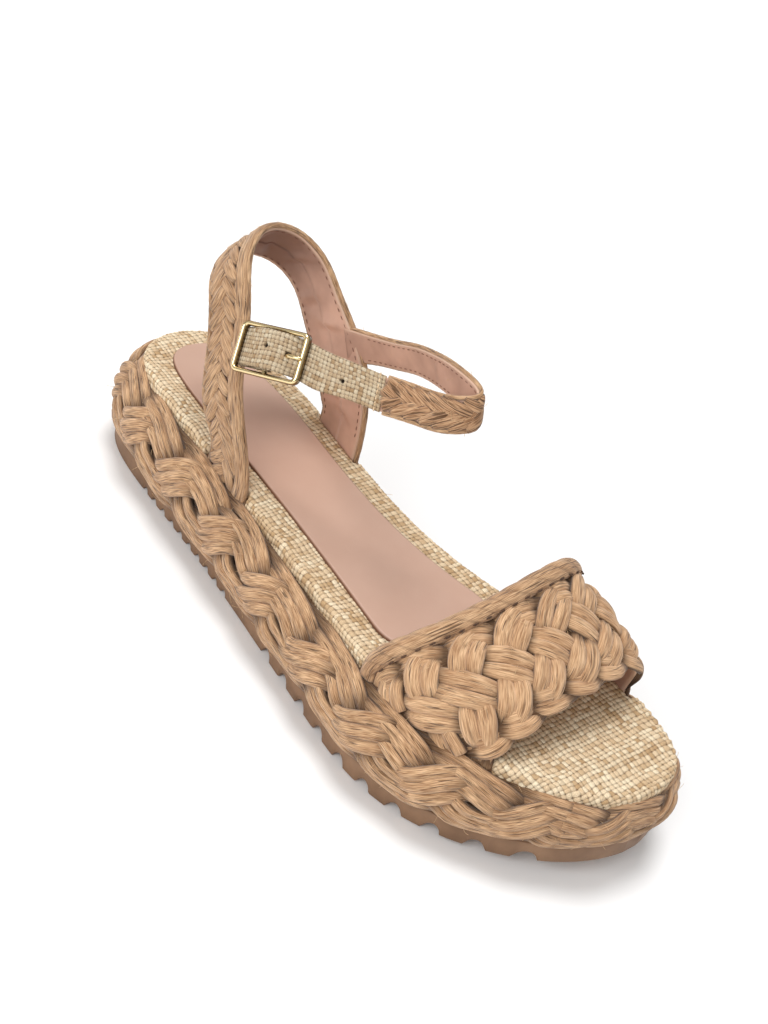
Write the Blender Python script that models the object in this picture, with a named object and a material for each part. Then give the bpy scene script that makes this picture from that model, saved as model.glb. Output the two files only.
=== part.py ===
"""Right-foot platform sandal: rubber outsole, plaited platform, cloth-covered footbed, sock,
plaited toe band, heel and ankle straps, and a buckle.

The toe points along +Y, the outer side of the foot is +X, and the sole stands on Z = 0.
The last is drawn with its heel tip at the axis, and the finished shoe is centred on its box.
Sizes are metres, and the rows of the tables are millimetres.
"""
from collections import namedtuple
import math

import bmesh
import bpy
from mathutils import Matrix, Vector
import numpy as np

MM = 0.001
GAP = 0.3 * MM
SHARP_ANGLE = math.radians(40)
CURVE_SAMPLES = 800
TURN_NUDGE = 1e-3

# Last: outline of the footbed and its height
FOOTBED_LENGTH = 248.0 * MM
Section = namedtuple("Section", "along outer inner rim dish bulge sole")
LAST_SECTIONS = (
    Section(0, 0.0, 0.0, 38.0, 0.0, 0.72, 4.2),
    Section(8, 19.3, -19.0, 37.9, 0.6, 0.72, 4.2),
    Section(30, 27.3, -25.8, 37.6, 1.6, 0.84, 4.2),
    Section(60, 30.0, -25.2, 37.0, 1.8, 0.96, 4.3),
    Section(95, 33.2, -20.5, 36.2, 0.8, 1.00, 4.6),
    Section(130, 37.4, -19.6, 35.5, 0.4, 1.00, 5.4),
    Section(160, 41.4, -25.8, 35.0, 0.8, 1.00, 6.0),
    Section(185, 43.0, -34.3, 34.6, 1.0, 0.98, 6.0),
    Section(208, 36.8, -37.0, 34.3, 0.6, 0.86, 5.0),
    Section(228, 25.5, -34.6, 34.0, 0.3, 0.62, 3.4),
    Section(242, 11.0, -28.0, 33.8, 0.1, 0.46, 2.4),
    Section(248, -9.5, -9.5, 33.7, 0.0, 0.43, 2.2),
)
STATIONS = 78

# Sole
OUTSOLE_HEIGHT = 8.0 * MM
OUTSOLE_DRAFT = 0.7 * MM
TOE_SPRING = 9.0 * MM
SPRING_START = 195.0 * MM
SPRING_END = 250.0 * MM
Tread = namedtuple("Tread", "start end pitch depth land")
TREADS = (
    Tread(37.0, 100.0, 6.3, 2.0, 0.45),
    Tread(120.0, 238.0, 11.8, 3.4, 0.52),
)
GROOVE_SHAPE = ((0.15, 0.75), (0.45, 1.0), (0.8, 0.7))
END_STATIONS = 9

# Plaited platform
FOOTBED_HEIGHT = 6.5 * MM
LIP_DROP = 3.0 * MM
ROLLED_EDGE = 1.6 * MM
NOTCH_EASE = 5.0 * MM
PLAIT_LEAST_REACH = 0.9 * MM
PLAIT_INNER_EASE = 0.2
# A flat plait: shares of its width, how long a strand hugs the edge, and millimetres of height
Plait = namedtuple("Plait", "strands edge_bumps centre swing hug half_strand wave rounding sink")
PLATFORM_PLAIT = Plait(4, 21, 0.08, 0.5, 1.7, 0.5, 2.0, 3.0, 3.1)
WallRow = namedtuple("WallRow", "share reach relief")
WALL_ROWS = (
    WallRow(0.0, 3.2, 0.0),
    WallRow(0.07, 6.2, 0.7),
    WallRow(0.19, 8.6, 1.0),
    WallRow(0.31, 9.9, 1.0),
    WallRow(0.43, 10.3, 1.0),
    WallRow(0.55, 10.0, 1.0),
    WallRow(0.67, 8.8, 1.0),
    WallRow(0.79, 6.8, 1.0),
    WallRow(0.9, 4.3, 0.9),
    WallRow(1.0, 1.6, 0.0),
)

# Sock
SOCK_INSET = 10.3 * MM
SOCK_THICKNESS = 0.9 * MM
SOCK_FRONT = 173.0 * MM
SOCK_CORNER = 16.0 * MM
SOCK_CORNER_STEPS = 5

# Toe band, a row for each section across the foot, from the outer side to the inner side
BAND_WALL = 3.4 * MM
BAND_PLAIT = Plait(6, 8, 0.05, 0.74, 0.6, 0.26, 1.2, 2.0, 1.2)
BAND_SHIFT = 6.5 * MM
BAND_OUTER_ALONG = (169.5, 218.5)
BAND_INNER_ALONG = (170.5, 214.5)
BAND_STATIONS = 55
BAND_COLUMNS = 18
BAND_INNER_COLUMNS = 5
BAND_RELIEF_EASE = 6.0 * MM
BAND_CENTRE_HEIGHT = 20.0 * MM
Arch = namedtuple("Arch", "back_across back_along back_up front_across front_along front_up belly")
BAND_ARCH = (
    Arch(40.8, 174.0, 45.0, 28.0, 219.5, 42.0, 2.4),
    Arch(30.0, 180.0, 54.8, 18.0, 219.5, 47.2, 1.8),
    Arch(10.0, 183.5, 64.0, 4.0, 219.0, 50.8, 1.2),
    Arch(-12.0, 183.8, 69.6, -13.0, 218.5, 52.6, 1.2),
    Arch(-25.0, 180.5, 62.5, -26.5, 217.0, 51.4, 1.6),
    Arch(-30.3, 175.0, 48.0, -35.0, 215.8, 44.0, 1.8),
)

# Straps, a row for each section, with both edges of the outer face
STRAP_WALL = 2.4 * MM
BRAID_RELIEF = 0.5 * MM
BRAID_COLUMNS = 4
BRAID_EDGE_SHARE = 0.3
SEAT_COLUMNS = 40
HEEL_STRAP_STEP = 2.6 * MM
Strap = namedtuple("Strap", "up_across up_along up_up low_across low_along low_up")
HEEL_OUTER_ALONG = (65.5, 88.5)
HEEL_INNER_ALONG = (61.0, 86.0)
HEEL_STRAP = (
    Strap(27.6, 68.8, 60.2, 29.0, 53.7, 49.3),
    Strap(24.3, 60.8, 74.2, 26.4, 46.3, 64.4),
    Strap(21.0, 52.6, 88.0, 23.6, 38.0, 78.6),
    Strap(18.2, 44.8, 99.8, 20.6, 32.2, 85.0),
    Strap(11.5, 40.0, 106.4, 13.0, 27.4, 89.2),
    Strap(2.0, 38.4, 106.6, 2.0, 26.0, 88.8),
    Strap(-7.5, 41.0, 103.4, -9.0, 29.0, 85.6),
    Strap(-13.6, 48.2, 97.8, -15.6, 36.6, 79.4),
    Strap(-17.0, 57.0, 88.8, -18.8, 45.6, 67.4),
    Strap(-18.9, 68.2, 79.4, -20.8, 55.8, 55.0),
    Strap(-20.2, 79.6, 66.0, -22.4, 60.4, 45.6),
)
ANKLE_STRAP_STEP = 2.8 * MM
ANKLE_STRAP_WALL = 1.5 * MM
ANKLE_STRAP_SUNK = 0.6 * MM
ANKLE_STRAP_PLAIN_ROWS = 4
ANKLE_STRAP = (
    Strap(-18.4, 64.0, 78.6, -20.6, 69.0, 68.0),
    Strap(-17.2, 79.4, 85.2, -20.2, 81.0, 74.4),
    Strap(-15.0, 90.2, 90.6, -18.7, 91.4, 79.8),
    Strap(-12.6, 100.8, 96.4, -16.6, 101.8, 85.2),
    Strap(-9.0, 112.4, 101.6, -13.0, 113.8, 89.8),
    Strap(-4.0, 127.0, 106.6, -6.8, 130.0, 94.6),
    Strap(1.4, 141.0, 107.0, 1.7, 144.4, 96.4),
    Strap(6.6, 134.0, 102.8, 9.6, 139.4, 93.8),
    Strap(9.4, 123.6, 99.6, 13.2, 130.4, 91.2),
    Strap(13.2, 113.0, 97.2, 17.6, 118.8, 88.2),
)

# Buckle and the cloth that holds it
BUCKLE_CENTRE = np.array((26.6, 75.5, 82.9)) * MM
BUCKLE_TURN = math.radians(2.9)
BUCKLE_LEAN = math.radians(27.5)
BUCKLE_SLOPE = math.radians(23.0)
BUCKLE_LENGTH = 27.4 * MM
BUCKLE_HEIGHT = 17.2 * MM
BUCKLE_WIRE = 0.95 * MM
BUCKLE_CORNER = 2.4 * MM
CENTRE_BAR = 0.9 * MM
PRONG_WIRE = 0.75 * MM
PRONG_HOLE = 1.6 * MM
PRONG_HOLE_FORWARD = 4.7 * MM
PRONG_HOLE_OUT = 1.6 * MM
PRONG_HOLE_DEPTH = 12.0 * MM
PRONG_HOLE_SIDES = 10
PRONG_SLOT_LENGTH = 7.0 * MM
PRONG_SLOT_DEPTH = 8.0 * MM
PRONG_SLOT_FORWARD = 1.5 * MM
PRONG_STEPS = 14
WIRE_ROUNDNESS = 2
FRAME_CORNER_STEPS = 4
TAB_WALL = 0.8 * MM
TAB_WIDTH = 10.0 * MM
TAB_LIFT = 1.1 * MM
TAB_PATCH = ((25.0, 66.2, 70.0), (25.0, 61.2, 79.6))
TAB_PATCH_BACK = (8.5, 1.5)
STRAP_END_WALL = 1.3 * MM
STRAP_END_WIDTH = 12.0 * MM
STRAP_END_STEP = 3.2 * MM
STRAP_END_JOIN = Strap(17.4, 96.4, 93.8, 22.6, 103.0, 84.6)
Path = namedtuple("Path", "forward out up", defaults=(0.0,))
STRAP_END_PATH = (
    Path(18.0, -1.9, -1.4),
    Path(12.6, -1.5, -0.3),
    Path(7.5, 0.9),
    Path(0.0, 3.6),
    Path(-7.5, 0.9),
    Path(-12.6, -1.5),
)
TAB_PATH = (
    Path(-12.6, -3.9),
    Path(-6.0, -2.7),
    Path(0.0, -2.0),
    Path(1.42, -1.42),
    Path(2.0, 0.0),
    Path(1.42, 1.42),
    Path(0.0, 2.0),
    Path(-5.0, 0.2),
)
PRONG_PATH = (
    Path(-0.6, -1.72),
    Path(0.9, -1.75),
    Path(2.4, -0.8),
    Path(4.0, 1.1),
    Path(5.6, 2.6),
    Path(8.2, 3.0),
    Path(11.0, 2.45),
    Path(14.0, 1.5),
)

# Colour, roughness and metallic value of each finish
Finish = namedtuple("Finish", "colour roughness metallic")
FINISHES = {
    "rubber": Finish((0.27, 0.155, 0.09), 0.7, 0.0),
    "jute": Finish((0.52, 0.33, 0.17), 0.85, 0.0),
    "straw_cloth": Finish((0.68, 0.56, 0.36), 0.85, 0.0),
    "sock_leather": Finish((0.58, 0.37, 0.27), 0.55, 0.0),
    "gold": Finish((0.78, 0.62, 0.36), 0.25, 1.0),
}


def clear_scene():
    for item in list(bpy.data.objects):
        bpy.data.objects.remove(item, do_unlink=True)


def new_collection(name):
    group = bpy.data.collections.new(name)
    bpy.context.scene.collection.children.link(group)
    return group


def finish_material(name):
    finish = FINISHES[name]
    material = bpy.data.materials.new(name)
    material.use_nodes = True
    shader = material.node_tree.nodes["Principled BSDF"]
    shader.inputs["Base Color"].default_value = (*finish.colour, 1.0)
    shader.inputs["Roughness"].default_value = finish.roughness
    shader.inputs["Metallic"].default_value = finish.metallic
    material.diffuse_color = (*finish.colour, 1.0)
    return material


def spline(knots, values, at):
    """Natural cubic spline through the values at the knots, read at the given places."""
    knots = np.asarray(knots, float)
    values = np.asarray(values, float).reshape(len(knots), -1)
    steps = np.diff(knots)[:, None]
    slopes = np.diff(values, axis=0) / steps
    system = np.eye(len(knots))
    bends = np.zeros_like(values)
    for row in range(1, len(knots) - 1):
        before = steps[row - 1, 0]
        after = steps[row, 0]
        system[row, row - 1:row + 2] = (before, 2 * (before + after), after)
        bends[row] = 6 * (slopes[row] - slopes[row - 1])
    bends = np.linalg.solve(system, bends)
    at = np.atleast_1d(np.asarray(at, float))
    cell = np.clip(np.searchsorted(knots, at, side="right") - 1, 0, len(knots) - 2)
    step = steps[cell]
    right = (at[:, None] - knots[cell][:, None]) / step
    left = 1 - right
    curve = (left ** 3 - left) * bends[cell] + (right ** 3 - right) * bends[cell + 1]
    return left * values[cell] + right * values[cell + 1] + curve * step ** 2 / 6


def column(table, name):
    return np.array([getattr(row, name) for row in table]) * MM


def unit(vectors):
    return vectors / np.linalg.norm(vectors, axis=-1, keepdims=True)


def chord_knots(points):
    return np.concatenate(([0.0], np.cumsum(np.linalg.norm(np.diff(points, axis=0), axis=1))))


def half_turn(along):
    """Angle of a place along the last: 0 at the heel tip and pi at the toe tip."""
    return np.arccos(np.clip(1 - 2 * np.asarray(along) / FOOTBED_LENGTH, -1, 1))


SECTION_TURNS = half_turn(column(LAST_SECTIONS, "along"))


def last_edge(turns):
    """Outline of the last: outer side for turns up to pi, then back along the inner side."""
    turns = np.mod(turns, 2 * math.pi)
    outer_side = turns <= math.pi
    halves = np.where(outer_side, turns, 2 * math.pi - turns)
    outer = spline(SECTION_TURNS, column(LAST_SECTIONS, "outer"), halves)[:, 0]
    inner = spline(SECTION_TURNS, column(LAST_SECTIONS, "inner"), halves)[:, 0]
    along = FOOTBED_LENGTH / 2 * (1 - np.cos(halves))
    return np.column_stack((np.where(outer_side, outer, inner), along))


def grown_edge(turns, grow):
    """The last's outline moved outwards by a distance."""
    heading = unit(last_edge(turns + TURN_NUDGE) - last_edge(turns - TURN_NUDGE))
    outward = np.column_stack((heading[:, 1], -heading[:, 0]))
    return last_edge(turns) + outward * np.reshape(grow, (-1, 1))


def even_turns(count):
    """Turns round the outline, matched side to side, at about even distances."""
    halves = np.linspace(0, math.pi, CURVE_SAMPLES)
    outer_run = chord_knots(last_edge(halves))
    inner_run = chord_knots(last_edge(2 * math.pi - TURN_NUDGE ** 3 - halves))
    run = outer_run + inner_run
    half = np.interp(np.linspace(0, run[-1], count + 1), run, halves)
    return np.concatenate((half, 2 * math.pi - half[-2:0:-1]))


def rim_height(along):
    return spline(column(LAST_SECTIONS, "along"), column(LAST_SECTIONS, "rim"), np.ravel(along))[:, 0]


def dish_depth(along):
    return spline(column(LAST_SECTIONS, "along"), column(LAST_SECTIONS, "dish"), np.ravel(along))[:, 0]


def shelf_height(along):
    return rim_height(along) - FOOTBED_HEIGHT


def tread_height(along):
    """Height of the sole's floor face, flat and then rising under the toes."""
    share = np.clip((along - SPRING_START) / (SPRING_END - SPRING_START), 0, None)
    return TOE_SPRING * share ** 2


def plait_relief(run, share, length, plait):
    """Height of a flat plait's outer face at a run along it and a share from -1 to 1 across it."""
    period = length / plait.edge_bumps * plait.strands
    phase = np.sin if plait.strands % 2 else np.cos
    top = np.full(np.shape(share), -plait.wave)
    for strand in range(plait.strands):
        angle = 2 * math.pi * (run / period + strand / plait.strands)
        middle = plait.centre + plait.swing * np.tanh(plait.hug * np.sin(angle)) / math.tanh(plait.hug)
        level = plait.wave * phase((plait.strands - 1) * angle)
        inside = 1 - ((share - middle) / plait.half_strand) ** 2
        height = level + plait.rounding * np.sqrt(np.clip(inside, 0, None))
        top = np.maximum(top, np.where(inside > 0, height, -plait.wave))
    return (top - plait.sink) * MM


def mesh_object(name, bm, group, finish):
    bmesh.ops.recalc_face_normals(bm, faces=bm.faces)
    mesh = bpy.data.meshes.new(name)
    bm.to_mesh(mesh)
    bm.free()
    mesh.shade_smooth()
    mesh.set_sharp_from_angle(angle=SHARP_ANGLE)
    item = bpy.data.objects.new(name, mesh)
    mesh.materials.append(finish)
    group.objects.link(item)
    return item


def ring_vertices(bm, edge, heights):
    return [bm.verts.new((x, y, z)) for (x, y), z in zip(edge, heights)]


def bridge(bm, low, high):
    count = len(low)
    for i in range(count):
        j = (i + 1) % count
        bm.faces.new((low[i], low[j], high[j], high[i]))


def cap(bm, ring, middle=None):
    """Close a ring by strips across it, over a middle line where one is given."""
    count = len(ring)
    half = count // 2
    for i in range(half):
        pair = (ring[i], ring[i + 1])
        across = (ring[(count - i - 1) % count], ring[(count - i) % count])
        if middle is None:
            corners = (*pair, *across)
            bm.faces.new(tuple(dict.fromkeys(corners)))
            continue
        line = [vert for vert in (middle.get(i + 1), middle.get(i)) if vert]
        bm.faces.new(tuple(dict.fromkeys((*pair, *line))))
        bm.faces.new(tuple(dict.fromkeys((*across, *reversed(line)))))


def middle_line(bm, ring, heights):
    """Vertices halfway between the two sides of a ring, at the given heights."""
    count = len(ring)
    line = {}
    for i in range(1, count // 2):
        centre = (ring[i].co + ring[count - i].co) / 2
        line[i] = bm.verts.new((centre.x, centre.y, heights[i]))
    return line


def make_outsole(group, finish):
    halves = np.linspace(TURN_NUDGE, math.pi - TURN_NUDGE, CURVE_SAMPLES)
    reach = spline(SECTION_TURNS, column(LAST_SECTIONS, "sole"), halves)[:, 0]
    outer = grown_edge(halves, reach)
    inner = grown_edge(2 * math.pi - halves, reach)
    start = max(outer[0, 1], inner[0, 1]) + GAP
    end = min(outer[-1, 1], inner[-1, 1]) - GAP
    round_off = 1 - np.cos(np.linspace(0, math.pi / 2, END_STATIONS))
    first_cut = TREADS[0].start * MM
    last_cut = TREADS[-1].end * MM
    places = [(start + (first_cut - start) * share, 0.0) for share in round_off]
    for tread in TREADS:
        count = round((tread.end - tread.start) / tread.pitch)
        pitch = (tread.end - tread.start) / count * MM
        for lug in range(count):
            lug_start = tread.start * MM + lug * pitch
            places.append((lug_start, 0.0))
            places.append((lug_start + tread.land * pitch, 0.0))
            for share, depth in GROOVE_SHAPE:
                place = lug_start + (tread.land + (1 - tread.land) * share) * pitch
                places.append((place, depth * tread.depth * MM))
        places.append((tread.end * MM, 0.0))
    places.extend((end - (end - last_cut) * share, 0.0) for share in round_off[::-1])
    table = dict(sorted(places))
    along = np.array(list(table))
    depth = np.array(list(table.values()))
    bm = bmesh.new()
    rows = []
    for y, groove in zip(along, depth):
        right = np.interp(y, outer[:, 1], outer[:, 0])
        left = np.interp(y, inner[:, 1], inner[:, 0])
        draft = min(OUTSOLE_DRAFT, (right - left) / 4)
        floor = float(tread_height(y))
        corners = ((right, floor + OUTSOLE_HEIGHT), (right - draft, floor + groove),
                   (left + draft, floor + groove), (left, floor + OUTSOLE_HEIGHT))
        rows.append([bm.verts.new((x, y, z)) for x, z in corners])
    for near, far in zip(rows, rows[1:]):
        bridge(bm, near, far)
    bm.faces.new(rows[0])
    bm.faces.new(rows[-1])
    return mesh_object("outsole", bm, group, finish)


def make_platform(group, finish):
    turns = even_turns(STATIONS)
    reach = max(row.reach for row in WALL_ROWS) * MM
    dense = np.linspace(0, 2 * math.pi, 2 * CURVE_SAMPLES)
    run = chord_knots(grown_edge(dense, reach))
    place = np.interp(turns, dense, run)
    halves = np.minimum(turns, 2 * math.pi - turns)
    bulge = spline(SECTION_TURNS, [row.bulge for row in LAST_SECTIONS], halves)[:, 0]
    bulge *= 1 - np.where(turns > math.pi, PLAIT_INNER_EASE * np.sin(halves) ** 2, 0)
    bm = bmesh.new()
    rings = []
    for row in WALL_ROWS:
        share = np.full(len(turns), 2 * row.share - 1)
        relief = plait_relief(place, share, run[-1], PLATFORM_PLAIT)
        grow = bulge * (row.reach * MM + row.relief * relief)
        edge = grown_edge(turns, np.maximum(grow, PLAIT_LEAST_REACH))
        low = tread_height(edge[:, 1]) + OUTSOLE_HEIGHT + GAP
        high = rim_height(np.clip(edge[:, 1], 0, FOOTBED_LENGTH)) - LIP_DROP
        rings.append(ring_vertices(bm, edge, low + (high - low) * row.share))
    seat = grown_edge(turns, GAP)
    seat_along = np.clip(seat[:, 1], 0, FOOTBED_LENGTH)
    rings.append(ring_vertices(bm, seat, rim_height(seat_along) - LIP_DROP - GAP))
    rings.append(ring_vertices(bm, seat, shelf_height(seat_along)))
    for low_ring, high_ring in zip(rings, rings[1:]):
        bridge(bm, low_ring, high_ring)
    cap(bm, rings[0])
    cap(bm, rings[-1])
    return mesh_object("platform", bm, group, finish)


def notch_depth(edge, turns):
    """How far the footbed's edge is cut back where a strap or the toe band is tucked in."""
    depth = np.zeros(len(turns))
    outer_side = turns <= math.pi
    notches = (
        (BAND_OUTER_ALONG, True, BAND_WALL),
        (BAND_INNER_ALONG, False, BAND_WALL),
        (HEEL_OUTER_ALONG, True, STRAP_WALL),
        (HEEL_INNER_ALONG, False, STRAP_WALL),
    )
    for (start, end), on_outer_side, wall in notches:
        past = np.maximum(start * MM - edge[:, 1], edge[:, 1] - end * MM)
        share = np.clip(1 - (past - NOTCH_EASE) / NOTCH_EASE, 0, 1)
        same_side = outer_side == on_outer_side
        depth = np.maximum(depth, np.where(same_side, share * (wall + 2 * GAP), 0))
    return depth


def make_footbed(group, finish):
    turns = even_turns(STATIONS)
    cut = notch_depth(last_edge(turns), turns)
    bm = bmesh.new()
    base = grown_edge(turns, -cut)
    along = np.clip(base[:, 1], 0, FOOTBED_LENGTH)
    top = grown_edge(turns, -cut - ROLLED_EDGE)
    inset = grown_edge(turns, -SOCK_INSET)
    rings = [
        ring_vertices(bm, base, shelf_height(along) + GAP),
        ring_vertices(bm, base, rim_height(along) - ROLLED_EDGE),
        ring_vertices(bm, top, rim_height(top[:, 1])),
        ring_vertices(bm, inset, rim_height(inset[:, 1]) - dish_depth(inset[:, 1]) / 2),
    ]
    for low_ring, high_ring in zip(rings, rings[1:]):
        bridge(bm, low_ring, high_ring)
    cap(bm, rings[0])
    line_along = (inset[:, 1] + np.roll(inset[::-1, 1], 1)) / 2
    cap(bm, rings[-1], middle_line(bm, rings[-1], rim_height(line_along) - dish_depth(line_along)))
    return mesh_object("footbed", bm, group, finish)


def make_sock(group, finish):
    halves = even_turns(STATIONS // 2)[:STATIONS // 2 + 1]
    outer = grown_edge(halves, -SOCK_INSET)
    inner = grown_edge(2 * math.pi - halves, -SOCK_INSET)
    along = (outer[:, 1] + inner[:, 1]) / 2
    corner_start = SOCK_FRONT - SOCK_CORNER
    corner = corner_start + SOCK_CORNER * np.sin(np.linspace(0, math.pi / 2, SOCK_CORNER_STEPS))
    stations = np.concatenate((along[along < corner_start], corner))
    bm = bmesh.new()
    sides = {"low": [], "high": []}
    for y in stations[1:]:
        right = np.interp(y, outer[:, 1], outer[:, 0])
        left = np.interp(y, inner[:, 1], inner[:, 0])
        centre = (right + left) / 2
        past = np.clip((y - corner_start) / SOCK_CORNER, 0, 1)
        half = (right - left) / 2 - SOCK_CORNER * (1 - math.sqrt(1 - past ** 2))
        edge_height = float(rim_height(y)[0] - dish_depth(y)[0] / 2) + GAP
        centre_height = float(rim_height(y)[0] - dish_depth(y)[0]) + GAP
        for name, lift in (("low", 0.0), ("high", SOCK_THICKNESS)):
            sides[name].append((
                bm.verts.new((centre + half, y, edge_height + lift)),
                bm.verts.new((centre, y, centre_height + lift)),
                bm.verts.new((centre - half, y, edge_height + lift)),
            ))
    rows = [(*low, *reversed(high)) for low, high in zip(sides["low"], sides["high"])]
    for near, far in zip(rows, rows[1:]):
        bridge(bm, near, far)
    bm.faces.new(rows[0])
    bm.faces.new(rows[-1])
    return mesh_object("sock", bm, group, finish)


def wall_solid(name, outer, inner, group, finish):
    """Closed wall between an outer grid and an inner grid with the same rows."""
    bm = bmesh.new()
    outside = [[bm.verts.new(point) for point in row] for row in outer]
    inside = [[bm.verts.new(point) for point in row] for row in inner]
    for grid in (outside, inside):
        for near, far in zip(grid, grid[1:]):
            for a, b, c, d in zip(near, near[1:], far[1:], far):
                bm.faces.new((a, b, c, d))
    for near, far, near_in, far_in in zip(outside, outside[1:], inside, inside[1:]):
        bm.faces.new((near[0], far[0], far_in[0], near_in[0]))
        bm.faces.new((near[-1], far[-1], far_in[-1], near_in[-1]))
    for row, row_in in ((outside[0], inside[0]), (outside[-1], inside[-1])):
        bm.faces.new((*row, *reversed(row_in)))
    return mesh_object(name, bm, group, finish)


def grid_normals(grid):
    """Outward normals of a grid of points, rows along the piece and columns across it."""
    return unit(np.cross(np.gradient(grid, axis=1), np.gradient(grid, axis=0)))


def edge_row(along, on_outer_side, height):
    """Points of the last's edge at the given places along it, lifted to a height over the rim."""
    along = np.asarray(along)
    half = half_turn(along)
    edge = last_edge(half if on_outer_side else 2 * math.pi - half)
    return np.column_stack((edge, height))


def make_toe_band(group, finish):
    share = np.linspace(0, 1, BAND_COLUMNS + 1)
    rows = []
    sides = ((BAND_OUTER_ALONG, True), (BAND_INNER_ALONG, False))
    tucked = []
    for (back, front), on_outer_side in sides:
        along = (back + (front - back) * share) * MM
        root = edge_row(along, on_outer_side, shelf_height(along) + GAP)
        rim = edge_row(along, on_outer_side, rim_height(along))
        tucked.append((root, rim))
    rows.extend(tucked[0])
    for arch in BAND_ARCH:
        back = np.array((arch.back_across, arch.back_along, arch.back_up)) * MM
        front = np.array((arch.front_across, arch.front_along, arch.front_up)) * MM
        line = back + (front - back) * share[:, None]
        centre = np.array((0.0, line[:, 1].mean(), BAND_CENTRE_HEIGHT))
        outward = unit((line - centre) * (1, 0, 1))
        rows.append(line + outward * (arch.belly * MM * 4 * share * (1 - share))[:, None])
    rows.extend(reversed(tucked[1]))
    rows = np.array(rows)
    knots = chord_knots(rows[:, BAND_COLUMNS // 2])
    places = np.linspace(0, knots[-1], BAND_STATIONS + 1)
    places[1] = knots[1]
    places[-2] = knots[-2]
    base = spline(knots, rows.reshape(len(rows), -1), places).reshape(len(places), -1, 3)
    normal = grid_normals(base)
    run = np.repeat(places[:, None] + BAND_SHIFT, BAND_COLUMNS + 1, axis=1)
    across = np.repeat((2 * share - 1)[None, :], len(places), axis=0)
    relief = plait_relief(run, across, knots[-1], BAND_PLAIT)
    clear = np.clip(np.minimum(places - knots[1], knots[-2] - places) / BAND_RELIEF_EASE, 0, 1)
    outer = base + normal * (relief * clear[:, None])[:, :, None]
    picks = np.linspace(0, BAND_COLUMNS, BAND_INNER_COLUMNS + 1).round().astype(int)
    inner = (base - normal * BAND_WALL)[:, picks]
    return wall_solid("toe_band", outer, inner, group, finish)


def strap_edges(rows, step):
    """Both edges of a strap's outer face, lower edge first, at even steps along it."""
    knots = chord_knots(rows.mean(axis=1))
    count = max(4, round(knots[-1] / step))
    places = np.linspace(0, knots[-1], count + 1)
    return spline(knots, rows.reshape(len(rows), -1), places).reshape(-1, 2, 3)


def strap_rows(table):
    low = np.column_stack([column(table, name) for name in ("low_across", "low_along", "low_up")])
    up = np.column_stack([column(table, name) for name in ("up_across", "up_along", "up_up")])
    return np.stack((low, up), axis=1)


def strap_walls(edges, wall, columns, relief=None):
    """Outer and inner grids of a strap from its two edges."""
    share = np.linspace(0, 1, columns + 1)[None, :, None]
    base = edges[:, :1] * (1 - share) + edges[:, 1:] * share
    normal = grid_normals(base)
    outer = base if relief is None else base + normal * relief[:, :, None]
    inner = edges - normal[:, (0, -1)] * wall
    return outer, inner


def herringbone(stations, columns):
    """Strips of a herringbone braid, each raised on every second station."""
    station = np.arange(stations)[:, None]
    place = np.abs(np.arange(columns + 1) - columns // 2)[None, :]
    raised = ((station + place) % 2) * BRAID_RELIEF
    raised[:, (0, -1)] *= BRAID_EDGE_SHARE
    return raised


def tucked_rows(along, on_outer_side):
    """Root and rim rows of a strap, lower edge first."""
    along = np.array(along) * MM
    root = edge_row(along, on_outer_side, shelf_height(along) + GAP)
    rim = edge_row(along, on_outer_side, rim_height(along))
    return root, rim


def heel_strap_edges():
    outer_root, outer_rim = tucked_rows(HEEL_OUTER_ALONG, True)
    inner_root, inner_rim = tucked_rows(HEEL_INNER_ALONG, False)
    rows = np.vstack(([outer_root], [outer_rim], strap_rows(HEEL_STRAP), [inner_rim], [inner_root]))
    return strap_edges(rows, HEEL_STRAP_STEP)


def seat_on(edges, point, lift):
    """The place on a strap's outer face nearest to a point, lifted off it along its normal."""
    share = np.linspace(0, 1, SEAT_COLUMNS + 1)[None, :, None]
    face = edges[:, :1] * (1 - share) + edges[:, 1:] * share
    normal = grid_normals(face)
    nearest = np.argmin(np.linalg.norm(face - point, axis=2))
    row, place = np.unravel_index(nearest, face.shape[:2])
    return face[row, place] + normal[row, place] * lift


def join(first, second):
    """Union of two objects, kept as the first one's mesh."""
    boolean = first.modifiers.new("join", "BOOLEAN")
    boolean.operation = "UNION"
    boolean.object = second
    apply_modifiers(first)
    bpy.data.objects.remove(second, do_unlink=True)


def cut(item, cutter):
    boolean = item.modifiers.new("cut", "BOOLEAN")
    boolean.operation = "DIFFERENCE"
    boolean.object = cutter


def apply_modifiers(item):
    graph = bpy.context.evaluated_depsgraph_get()
    mesh = bpy.data.meshes.new_from_object(item.evaluated_get(graph))
    item.modifiers.clear()
    item.data = mesh


def make_straps(group, finish):
    heel_edges = heel_strap_edges()
    relief = herringbone(len(heel_edges), BRAID_COLUMNS)
    above_rim = heel_edges[:, :, 2].min(axis=1) - max(row.rim for row in LAST_SECTIONS) * MM
    relief[above_rim < STRAP_WALL] = 0
    walls = strap_walls(heel_edges, STRAP_WALL, BRAID_COLUMNS, relief)
    heel = wall_solid("ankle_straps", *walls, group, finish)
    rows = strap_rows(ANKLE_STRAP)
    rows[0] = [seat_on(heel_edges, point, -ANKLE_STRAP_SUNK) for point in rows[0]]
    edges = strap_edges(rows, ANKLE_STRAP_STEP)
    relief = herringbone(len(edges), BRAID_COLUMNS)
    relief[:ANKLE_STRAP_PLAIN_ROWS] = 0
    walls = strap_walls(edges, ANKLE_STRAP_WALL, BRAID_COLUMNS, relief)
    ankle = wall_solid("ankle_strap_front", *walls, group, finish)
    join(heel, ankle)
    return heel, heel_edges


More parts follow.
